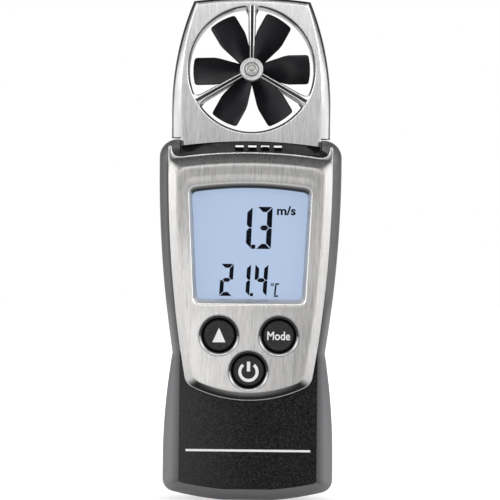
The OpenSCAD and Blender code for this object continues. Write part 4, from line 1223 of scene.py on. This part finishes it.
class METER_OT_display(bpy.types.Operator):
    """Finishes the display and sets its segments"""

    bl_idname = "meter.display"
    bl_label = "Display"

    def value(self, form, text, faces, right, low, w, h, t, pitch, slant):
        """A number whose last digit ends at the right edge."""
        bars = segment_shapes(w, h, t, pitch)
        x = right - w
        for sign in reversed(text):
            for name in SEGMENTS[sign]:
                form.slab([(x + px + slant * pz, low + pz) for px, pz in bars[name]], *faces)
            if sign != ".":
                x -= pitch

    def degree_sign(self, form, faces):
        """The small sign of degrees, a ring beside an angular letter."""
        x, z = LOWER_UNIT
        low_bar = [(0.0, 0.0), (1.0, 0.0), (1.04, 0.4), (0.04, 0.4)]
        high_bar = [(px + 0.2745, pz + 3.05) for px, pz in low_bar]
        stem = [(0.0, 0.46), (0.42, 0.46), (0.66, 2.99), (0.24, 2.99)]
        for bar in (low_bar, high_bar, stem):
            form.slab([(x + px, z + pz) for px, pz in bar], *faces)
        front, back = faces
        rings = []
        for radius, y in ((0.4, front), (0.4, back), (0.17, back), (0.17, front)):
            rings.append(form.ring(circle((x - 0.42, z + 3.1), radius, 32), y))
        form.skin(rings + rings[:1])

    def execute(self, context):
        m = finishes()
        words = context.scene.meter_words
        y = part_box("lcd_panel")[0].y / MM
        faces = (y - 0.02, y + 0.01)
        form = Form()
        self.value(form, words.upper, faces, **UPPER_DIGITS)
        self.value(form, words.lower, faces, **LOWER_DIGITS)
        self.degree_sign(form, faces)
        unit = lettering(words.upper_unit, (9.12, 73.2), 2.3, 4.75, faces, 0.03)
        segments = joined("display_segments", form.piece("display_bars"), unit)
        settle(segments, m.segment, "housing", "gasket_black")
        dress("lcd_panel", m.cell)
        dress("display_window", m.window)
        dress("window_gasket", m.rubber)
        dress("lcd_holder", m.white)
        dress("lcd_connector", m.rubber)
        dress("backlight_panel", m.white)
        return {"FINISHED"}


# Radius of a key's stem.
STEM_R = 1.54


class METER_OT_keys(bpy.types.Operator):
    """Builds the three keys with their marks, and the bright bezels"""

    bl_idname = "meter.keys"
    bl_label = "Keys and bezels"

    def cap(self, d, node, at):
        """A key with a dished top, a flange and a stem, and the depth of its front."""
        low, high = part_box(node)
        front = low.y / MM
        back = high.y / MM
        r = d.key_d / 2
        flange = d.inner_y + 0.3
        top = [(0.0, 0.06), (r - 1.2, 0.05), (r - 0.75, 0.0), (r - 0.5, 0.02), (r - 0.05, 0.45), (r, 1.0)]
        path = [(radius, front + depth) for radius, depth in top]
        path += [(r, flange), (r + 0.7, flange), (r + 0.7, flange + 0.7)]
        path += [(STEM_R, flange + 0.7), (STEM_R, back), (0.0, back)]
        profile = softened(path[:8], 0.18, 4) + path[8:]
        form = Form()
        form.lathe(profile, at)
        return form.piece(node + "_cap", 40.0), front

    def execute(self, context):
        d = sizes()
        m = finishes()
        for node, at in zip(("up_key", "mode_key", "power_key"), d.keys):
            cap, front = self.cap(d, node, at)
            settle(cap, m.key, node, "key_black", node)
        faces = (front + 0.03, front + 0.12)
        x, z = d.keys[0]
        arrow = Form()
        arrow.slab([(x - 1.66, z - 1.75), (x + 1.66, z - 1.75), (x, z + 1.9)], *faces)
        settle(arrow.piece("arrow_mark"), m.mark, "up_key", "holder_plastic")
        text = lettering(context.scene.meter_words.key_word, d.keys[1], 2.15, 5.75, faces, 0.018)
        text.name = "word_mark"
        settle(text, m.mark, "mode_key", "holder_plastic")
        x, z = d.keys[2]
        centre = (x, z - 0.25)
        gap = math.radians(38.0)
        turns = steps(math.pi / 2 + gap, math.pi / 2 + math.tau - gap, 56)
        power = Form()
        power.slab(arc(centre, 2.56, turns) + arc(centre, 1.78, reversed(turns)), *faces)
        power.slab(rectangle(x - 0.42, z - 0.15, x + 0.42, z + 2.3), *faces)
        settle(power.piece("power_mark"), m.mark, "power_key", "holder_plastic")
        r = d.bezel_d / 2
        bore = d.key_d / 2 + KEY_PLAY
        crest = d.plate_y - d.bezel_proud
        lip = [(r, d.face_y), (r, d.plate_y), (r - 0.06, crest), (r - 0.16, crest), (r - 0.3, crest + 0.08)]
        lip = softened(lip + [(bore, crest + 0.5), (bore, d.face_y), (r, d.face_y)], 0.06, 4)
        form = Form()
        # Painted shade on the bezel's funnel: dark on its upper half and near the key below, leaving a bright
        # outer line and a lighter lower lip.
        for ring in form.lathe(lip, (0.0, 0.0), 128):
            for vert in ring:
                across = math.hypot(vert.co.x, vert.co.z)
                funnel = 1.0 - smooth(r - 0.21, r - 0.1, across)
                upper = smooth(-0.8, 0.15, vert.co.z / across)
                lower_shade = 0.92 * (1.0 - smooth(r - 0.75, r - 0.35, across))
                vert[form.shade] = funnel * blend(lower_shade, 0.97, upper)
        piece = form.piece("bezel_piece", 40.0)
        bezels = copies("bright_bezels", piece, m.chrome, [(px, 0.0, pz) for px, pz in d.keys])
        settle(bezels, m.chrome, "housing", "bezel_chrome", "key_bezels")
        return {"FINISHED"}


class METER_OT_collar(bpy.types.Operator):
    """Finishes the sensor collar"""

    bl_idname = "meter.collar"
    bl_label = "Sensor collar"

    def execute(self, context):
        m = finishes()
        collar = node_copy("sensor_collar", "neck_collar", 20.0)
        settle(collar, m.collar, "housing", "collar_plastic", "sensor_collar")
        return {"FINISHED"}


# Depths of the struts and the hub behind the front of the vane head.
STRUT_DEPTH = 2.4
HUB_DEPTH = 2.9


class METER_OT_vane_head(bpy.types.Operator):
    """Builds the vane head with its duct, struts, hubs and bearings"""

    bl_idname = "meter.vane_head"
    bl_label = "Vane head"

    def frame_half(self, d):
        """The front frame round the duct."""
        form = Form()
        depth = -d.head_front_y
        edge = depth - d.head_round
        seam = head_outline(d, 0.03)
        rings = [form.ring(seam, 0.0, [0.95] * len(seam)), form.ring(head_outline(d, 0.0), -0.12)]
        for a in steps(0.0, math.pi / 2, 20):
            top_share = 1.0 - math.cos(a)
            share = blend(top_share, math.sin(a), 0.85)
            outline = head_outline(d, share, top_share)
            shades = []
            for (_, z), up in zip(outline, facing(outline)):
                height = min(max((z - d.head_base) / d.head_h, 0.0), 1.0)
                top = smooth(0.6, 0.95, up)
                inset = share * blend(d.head_side_bevel, d.head_corner_bevel, height)
                inset = blend(inset, top_share * d.head_top_bevel, top)
                # Painted shade: dark along the outer edge and under the top, and half dark on the lower
                # sides.
                rim = 0.93 * (1.0 - smooth(0.4, 0.72, inset))
                over = 0.7 * smooth(0.7, 0.95, up) * (1.0 - smooth(0.6, 0.9, top_share))
                soft = 0.37 * (1.0 - smooth(0.28, 0.5, height)) * (1.0 - top)
                soft *= 1.0 - smooth(0.9, 1.0, share)
                shades.append(max(rim, over, soft) * smooth(0.0, 0.02, share))
            rings.append(form.ring(outline, -edge - d.head_round * math.sin(a), shades))
        form.skin(rings)
        r = d.duct_d / 2
        duct = softened([(r + 1.2, -depth), (r + 0.5, -depth), (r, -depth + 0.8), (r, 0.0)], 0.25, 5)[1:]
        bores = [form.ring(circle((0.0, d.hub_h), radius, 160), y) for radius, y in duct]
        form.skin(bores)
        form.cap(rings[-1], bores[0])
        form.cap(rings[0], bores[-1])
        return form.piece("vane_front", 34.0)

    def strut(self, d, front, back):
        """A strut along X from the hub to the duct, with two ridges and a groove on its front."""
        r = d.duct_d / 2
        start = d.hub_d / 2 - 0.5
        end = r + 0.5
        low = blend(back, front, 0.25)
        rows = []
        shape = [(-1.0, 1.3), (-0.95, 0.75), (-0.86, 0.36), (-0.74, 0.12), (-0.6, 0.01)]
        shape += [(-0.5, 0.0), (-0.38, 0.08), (-0.26, 0.3), (-0.14, 0.66), (0.0, 0.8)]
        profile = shape + [(-v, sink) for v, sink in reversed(shape[:-1])]
        # Painted shade: darker where the front sinks, at the edges and the groove, and on the back.
        shades = [0.72 * smooth(0.02, 0.4, sink) for v, sink in profile] + [0.9] * 4
        for t in steps(0.0, 1.0, 26):
            x = blend(start, end, t)
            ridge = blend(d.strut_hub_w, d.strut_w, t) / 2
            rest = max(x - (r - 2.1), 0.0) / 2.6
            half = ridge + 1.5 * (1.0 - math.sqrt(max(1.0 - rest * rest, 0.0)))
            row = []
            for v, sink in profile:
                across = v * ridge if abs(v) < 0.65 else math.copysign(half - (1.0 - abs(v)) * ridge, v)
                row.append((x, front + sink, across))
            row += [(x, low, half), (x, back, half * 0.6), (x, back, -half * 0.6), (x, low, -half)]
            rows.append(row)
        form = Form()
        form.grid(rows, shades)
        return form.piece("strut_piece", 38.0)

    def turned(self, d, name, outer, inner, path, reach, count):
        """A piece turned about the vane axis; its path gives radius and depth below the outer face."""
        inward = math.copysign(1.0, inner - outer)
        form = Form()
        profile = softened([(r, outer + inward * depth) for r, depth in path], reach, 3)
        form.lathe(profile, (0.0, d.hub_h), count)
        return form.piece(name, 38.0)

    def hub(self, d, outer, inner):
        """A turned hub with fine rings on its outer face."""
        r = d.hub_d / 2
        bore = 1.66
        end = abs(inner - outer)
        path = [(bore, end), (r, end), (r, 0.3), (r - 0.22, 0.0), (2.45, 0.0), (2.36, 0.14), (2.22, 0.14)]
        path += [(2.12, 0.0), (1.95, 0.0), (1.78, 0.28), (bore, 0.3), (bore, end)]
        return self.turned(d, "front_hub", outer, inner, path, 0.05, 128)

    def bearing(self, d, name, outer, inner):
        """A dished bearing bush with a pivot in its middle."""
        end = abs(inner - outer)
        path = [(0.0, 0.05), (0.34, 0.08), (0.5, 0.36), (0.8, 0.4), (1.02, 0.3), (1.12, 0.0), (1.4, 0.0)]
        path += [(1.6, 0.2), (1.6, end), (0.55, end), (0.55, 1.0), (0.0, 1.0)]
        return self.turned(d, name, outer, inner, path, 0.06, 96)

    def execute(self, context):
        d = sizes()
        m = finishes()
        front = self.frame_half(d)
        settle(front, m.head, "housing", "head_metal", "head_front_frame")
        rear = node_copy("head_rear_frame", "vane_rear", 34.0, reach=1.0)
        settle(rear, m.head, "housing", "head_metal", "head_rear_frame")
        outer = d.head_front_y
        piece = self.strut(d, outer + 0.02, outer + STRUT_DEPTH)
        centre = (0.0, 0.0, d.hub_h)
        struts = ring_of("front_struts", piece, m.strut, d.strut_count, centre, -math.pi / 2)
        settle(struts, m.strut, "housing", "head_metal")
        hub = self.hub(d, outer, outer + HUB_DEPTH)
        settle(hub, m.head, "housing", "head_metal")
        low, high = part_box("front_bearing")
        bush = self.bearing(d, "front_bush", low.y / MM, high.y / MM)
        settle(bush, m.steel, "housing", "bearing_metal", "front_bearing")
        low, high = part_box("rear_bearing")
        bush = self.bearing(d, "rear_bush", high.y / MM, low.y / MM)
        settle(bush, m.steel, "housing", "bearing_metal", "rear_bearing")
        dress("speed_pickup", m.copper)
        return {"FINISHED"}


class METER_OT_impeller(bpy.types.Operator):
    """Builds the impeller from copies of one blade on a turned hub"""

    bl_idname = "meter.impeller"
    bl_label = "Impeller"

    def blade(self, d):
        """One pitched blade along X with rounded tip corners."""
        r = 0.75
        c = d.blade_chord / 2
        tip = d.tip_d / 2
        root = 2.0
        waist = d.blade_waist_r
        low = [(root, -d.blade_root_chord / 2), (waist - 0.7, -c + 0.28), (waist + 0.5, -c)]
        flat = math.cos(d.blade_pitch)

        def tip_x(z):
            return math.sqrt(tip * tip - (z * flat) ** 2)

        start = -c + r
        turn = bezier((tip_x(-c) - r, -c), (tip_x(-c), -c), (tip_x(start), start), 8)
        half = low + turn + [(tip_x(z), z) for z in steps(start, 0.0, 6)[1:-1]]
        outline = half + [(x, -z) for x, z in reversed(half)]
        spin = Matrix.Rotation(d.blade_pitch, 3, "X")
        form = Form()
        rings = []
        for y, share in ((-0.5, 0.0), (-0.36, 0.7), (-0.2, 1.0), (0.2, 1.0), (0.36, 0.7), (0.5, 0.0)):
            points = []
            for x, z in outline:
                shrink = 0.16 * (1.0 - share)
                px = max(x - shrink, root) if x > root else x
                pz = z - math.copysign(shrink, z)
                p = spin @ Vector((px, y * d.blade_t, pz))
                radius = math.hypot(p.x, p.z)
                if radius > tip:
                    p.x = p.x * tip / radius
                    p.z = p.z * tip / radius
                points.append(p)
            rings.append(form.loop(points))
        form.skin(rings)
        form.cap(rings[0])
        form.cap(rings[-1])
        return form.piece("blade_piece", 50.0)

    def execute(self, context):
        d = sizes()
        m = finishes()
        low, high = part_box("impeller")
        middle = (low.y + high.y) / 2 / MM
        centre = (0.0, middle, d.hub_h)
        blades = ring_of("blades", self.blade(d), m.blade, d.blade_count, centre, -d.blade_turn)
        path = [(0.52, -2.8), (1.9, -2.8), (2.7, -2.3), (2.7, 2.3), (1.9, 2.8), (0.52, 2.8), (0.52, -2.8)]
        form = Form()
        form.lathe(softened([(r, middle + y) for r, y in path], 0.3, 4), (0.0, d.hub_h), 96)
        hub = form.piece("impeller_hub")
        rotor = joined("rotor", blades, hub)
        settle(rotor, m.blade, "impeller", "impeller_black", "impeller")
        dress("impeller_axle", m.steel)
        return {"FINISHED"}


class METER_OT_battery_bay(bpy.types.Operator):
    """Finishes the sliding cover, the cells and their contacts"""

    bl_idname = "meter.battery_bay"
    bl_label = "Battery bay"

    def execute(self, context):
        m = finishes()
        cover = node_copy("battery_cover", "sliding_cover", 30.0, reach=1.5)
        settle(cover, m.shell, "battery_cover", "shell_plastic", "battery_cover")
        for node in ("battery_left", "battery_right"):
            cell = node_copy(node, node + "_cell", 30.0, 0.25)
            settle(cell, m.wrap, "housing", "cell_wrap", node)
        for node in ("battery_terminals", "battery_link"):
            dress(node, m.steel)
        return {"FINISHED"}


# Width of the arms of a screw's cross.
RECESS_W = 0.48


class METER_OT_fasteners(bpy.types.Operator):
    """Builds the screws with cross recesses"""

    bl_idname = "meter.fasteners"
    bl_label = "Fasteners"

    def screw(self, head_r, shank_r, head_y, seat_y, tip_y):
        """A pan head screw whose head faces the back."""
        form = Form()
        path = [(0.0, tip_y), (shank_r * 0.6, tip_y), (shank_r, tip_y + 0.5), (shank_r, seat_y)]
        path += [(head_r, seat_y), (head_r, head_y - 0.45), (head_r * 0.8, head_y), (0.0, head_y)]
        form.lathe(softened(path, 0.12, 3), (0.0, 0.0), 48)
        arm = 0.62 * head_r
        for half_w, half_h in ((arm, RECESS_W / 2), (RECESS_W / 2, arm)):
            form.slab(rectangle(-half_w, -half_h, half_w, half_h), head_y - 0.2, head_y + 0.012)
        return form.piece("screw_piece", 38.0)

    def set_of(self, node, name, material, head_r, shank_r, head_t):
        """All screws of a node as one piece."""
        low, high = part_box(node)
        head_y = high.y / MM
        piece = self.screw(head_r, shank_r, head_y, head_y - head_t, low.y / MM)
        made = copies(name, piece, material, [(x, 0.0, z) for x, z in self.places(node)], 0.6)
        settle(made, material, "housing", "screw_steel", node)

    def places(self, node):
        """Middles of the separate screws of a node, seen from the front."""
        bm = bmesh.new()
        bm.from_mesh(NODES[node].data)
        bmesh.ops.remove_doubles(bm, verts=bm.verts[:], dist=2e-6)
        bm.verts.ensure_lookup_table()
        left = set(bm.verts)
        spots = []
        while left:
            stack = [left.pop()]
            island = []
            while stack:
                vert = stack.pop()
                island.append(vert.co.copy())
                for edge in vert.link_edges:
                    other = edge.other_vert(vert)
                    if other in left:
                        left.remove(other)
                        stack.append(other)
            xs = [p.x for p in island]
            zs = [p.z for p in island]
            spots.append(((max(xs) + min(xs)) / 2 / MM, (max(zs) + min(zs)) / 2 / MM))
        bm.free()
        return sorted(spots)

    def execute(self, context):
        m = finishes()
        self.set_of("housing_screws", "rear_screws", m.screw, 1.9, 1.0, 1.4)
        self.set_of("head_screws", "vane_screws", m.screw, 1.9, 1.0, 1.4)
        self.set_of("board_screws", "inner_screws", m.screw, 1.6, 0.8, 0.96)
        return {"FINISHED"}


class METER_OT_inner_pieces(bpy.types.Operator):
    """Finishes the pieces inside the housing"""

    bl_idname = "meter.inner_pieces"
    bl_label = "Inner pieces"

    def execute(self, context):
        m = finishes()
        for node, material in (
            ("circuit_board", m.board),
            ("microcontroller", m.rubber),
            ("key_switches", m.white),
            ("air_sensor", m.rubber),
            ("sensor_ribbon", m.amber),
        ):
            dress(node, material)
        return {"FINISHED"}


WHITE = (1.0, 1.0, 1.0, 1.0)
FLOOR_REACH = 3.0
FLOOR_Z = -0.0001
CAMERA_AWAY = 0.9
# Width that the camera sees at the part, in metres, and its small tilt in degrees.
VIEW_W = 0.1272
CAMERA_TILT = 0.613


class METER_OT_stage(bpy.types.Operator):
    """Sets the floor, the light and the camera"""

    bl_idname = "meter.stage"
    bl_label = "Stage"

    def panel(self, name, place, aim, width, height, radiance, glossy):
        """A lamp whose energy follows from its area and radiance."""
        light = bpy.data.lights.new(name, "AREA")
        light.shape = "RECTANGLE"
        light.size = width
        light.size_y = height
        light.energy = radiance * math.pi * width * height
        obj = linked(name, light)
        obj.location = place
        obj.rotation_euler = (Vector(aim) - Vector(place)).to_track_quat("-Z", "Y").to_euler()
        obj.visible_glossy = glossy

    def world(self):
        """White to the camera, and dim to reflections but for soft bands beside and above the front."""
        world = bpy.data.worlds.new("Studio")
        bpy.context.scene.world = world
        world.use_nodes = True
        w = Wiring(world.node_tree)
        path = w.nodes.new("ShaderNodeLightPath").outputs
        way = w.split(w.nodes.new("ShaderNodeTexCoord").outputs["Generated"])

        def soft(axis, start, end, first, last):
            return w.between(way[axis], start, end, first, last, "SMOOTHSTEP")

        near = soft("Y", -0.15, 0.5, 1.0, 0.2)
        behind = soft("Y", 0.82, 0.92, 0.0, 0.4)
        side = w.maths("MULTIPLY", soft("Y", -0.62, -0.36, 0.0, 2.3), soft("Y", -0.24, -0.04, 1.0, 0.0))
        brow = w.maths("MULTIPLY", soft("Z", 0.2, 0.32, 0.0, 1.2), soft("Z", 0.42, 0.56, 1.0, 0.0))
        brow = w.maths("MULTIPLY", brow, soft("Y", -0.6, -0.3, 1.0, 0.0))
        around = w.maths("ADD", w.maths("ADD", near, w.maths("ADD", side, brow)), behind)
        heights = w.maths("MULTIPLY", soft("Z", 0.3, 0.8, 1.0, 0.28), soft("Y", -0.98, -0.8, 0.84, 1.0))
        shiny = w.mix(path["Is Glossy Ray"], 0.35, w.maths("MULTIPLY", around, heights), "FLOAT")
        seen = w.maths("MAXIMUM", path["Is Camera Ray"], path["Is Transmission Ray"])
        back = w.nodes["Background"].inputs
        w.put(back["Color"], WHITE)
        w.put(back["Strength"], w.mix(seen, shiny, 1.0, "FLOAT"))

    def floor(self):
        """A pale floor that fades to white away from the part and keeps its shadow."""
        mesh = bpy.data.meshes.new("studio_floor")
        corners = rectangle(-FLOOR_REACH, -FLOOR_REACH, FLOOR_REACH, FLOOR_REACH)
        mesh.from_pydata([(x, y, FLOOR_Z) for x, y in corners], [], [(0, 1, 2, 3)])
        obj = linked("studio_floor", mesh)
        f = Finish("Studio floor", bpy.context.scene.meter_colours.floor, 0.0, 0.7)
        f.tint(f.noise(900.0, 2.0), 0.97, 1.03)
        path = f.nodes.new("ShaderNodeLightPath").outputs
        away = f.nodes.new("ShaderNodeVectorMath")
        away.operation = "LENGTH"
        f.put(away.inputs[0], f.coords)
        white = f.between(away.outputs["Value"], 0.05, 0.4, 0.62, 1.0)
        shiny = f.maths("MULTIPLY", path["Is Glossy Ray"], 0.25)
        glow = f.maths("ADD", f.maths("MULTIPLY", path["Is Camera Ray"], white), shiny)
        f.set("Emission Color", WHITE)
        f.set("Emission Strength", glow)
        f.set("Specular IOR Level", 0.0)
        mesh.materials.append(f.material)

    def execute(self, context):
        self.world()
        self.floor()
        middle = (0.0, 0.0, 0.065)
        level = (0.0, -0.12, 0.09)
        self.panel("Left panel", (-0.5, -0.12, 0.09), level, 0.55, 0.5, 3.4, False)
        self.panel("Right panel", (0.5, -0.12, 0.09), level, 0.55, 0.5, 3.3, False)
        self.panel("High strip", (0.0, -0.225, 0.63), (0.0, 0.0, 0.07), 0.6, 0.09, 3.2, True)
        self.panel("Front fill", (0.0, -1.1, 0.5), middle, 0.8, 0.4, 2.4, False)
        self.panel("Back fill", (0.1, 0.9, 0.45), middle, 0.7, 0.5, 2.5, False)
        camera = bpy.data.cameras.new("Camera")
        camera.sensor_width = 36.0
        camera.lens = camera.sensor_width * CAMERA_AWAY / VIEW_W
        camera.clip_start = 0.01
        obj = linked("Camera", camera)
        obj.location = (0.00006, -CAMERA_AWAY, 0.0632)
        obj.rotation_euler = (math.pi / 2, -math.radians(CAMERA_TILT), 0.0)
        bpy.context.scene.camera = obj
        bpy.context.scene.view_settings.view_transform = "Standard"
        return {"FINISHED"}


STEPS = (
    METER_OT_stage,
    METER_OT_shells,
    METER_OT_face_plate,
    METER_OT_display,
    METER_OT_keys,
    METER_OT_collar,
    METER_OT_vane_head,
    METER_OT_impeller,
    METER_OT_battery_bay,
    METER_OT_fasteners,
    METER_OT_inner_pieces,
)


class METER_PT_panel(bpy.types.Panel):
    """Lists the steps and the main sizes"""

    bl_idname = "METER_PT_panel"
    bl_label = "Pocket anemometer"
    bl_space_type = "VIEW_3D"
    bl_region_type = "UI"
    bl_category = "Anemometer"

    def draw(self, context):
        scene = context.scene
        for step in STEPS:
            self.layout.operator(step.bl_idname)
        for group in (scene.meter_words, scene.meter_colours, scene.meter_sizes):
            box = self.layout.box()
            for name in group.__annotations__:
                box.prop(group, name)


CLASSES = (MeterSizes, MeterColours, MeterWords) + STEPS + (METER_PT_panel,)


def register():
    for cls in CLASSES:
        bpy.utils.register_class(cls)
    bpy.types.Scene.meter_sizes = PointerProperty(type=MeterSizes)
    bpy.types.Scene.meter_colours = PointerProperty(type=MeterColours)
    bpy.types.Scene.meter_words = PointerProperty(type=MeterWords)


def unregister():
    del bpy.types.Scene.meter_words
    del bpy.types.Scene.meter_colours
    del bpy.types.Scene.meter_sizes
    for cls in reversed(CLASSES):
        bpy.utils.unregister_class(cls)


def main():
    register()
    bpy.ops.meter.stage()
    bpy.ops.meter.shells()
    bpy.ops.meter.face_plate()
    bpy.ops.meter.display()
    bpy.ops.meter.keys()
    bpy.ops.meter.collar()
    bpy.ops.meter.vane_head()
    bpy.ops.meter.impeller()
    bpy.ops.meter.battery_bay()
    bpy.ops.meter.fasteners()
    bpy.ops.meter.inner_pieces()


if __name__ == "__main__":
    main()
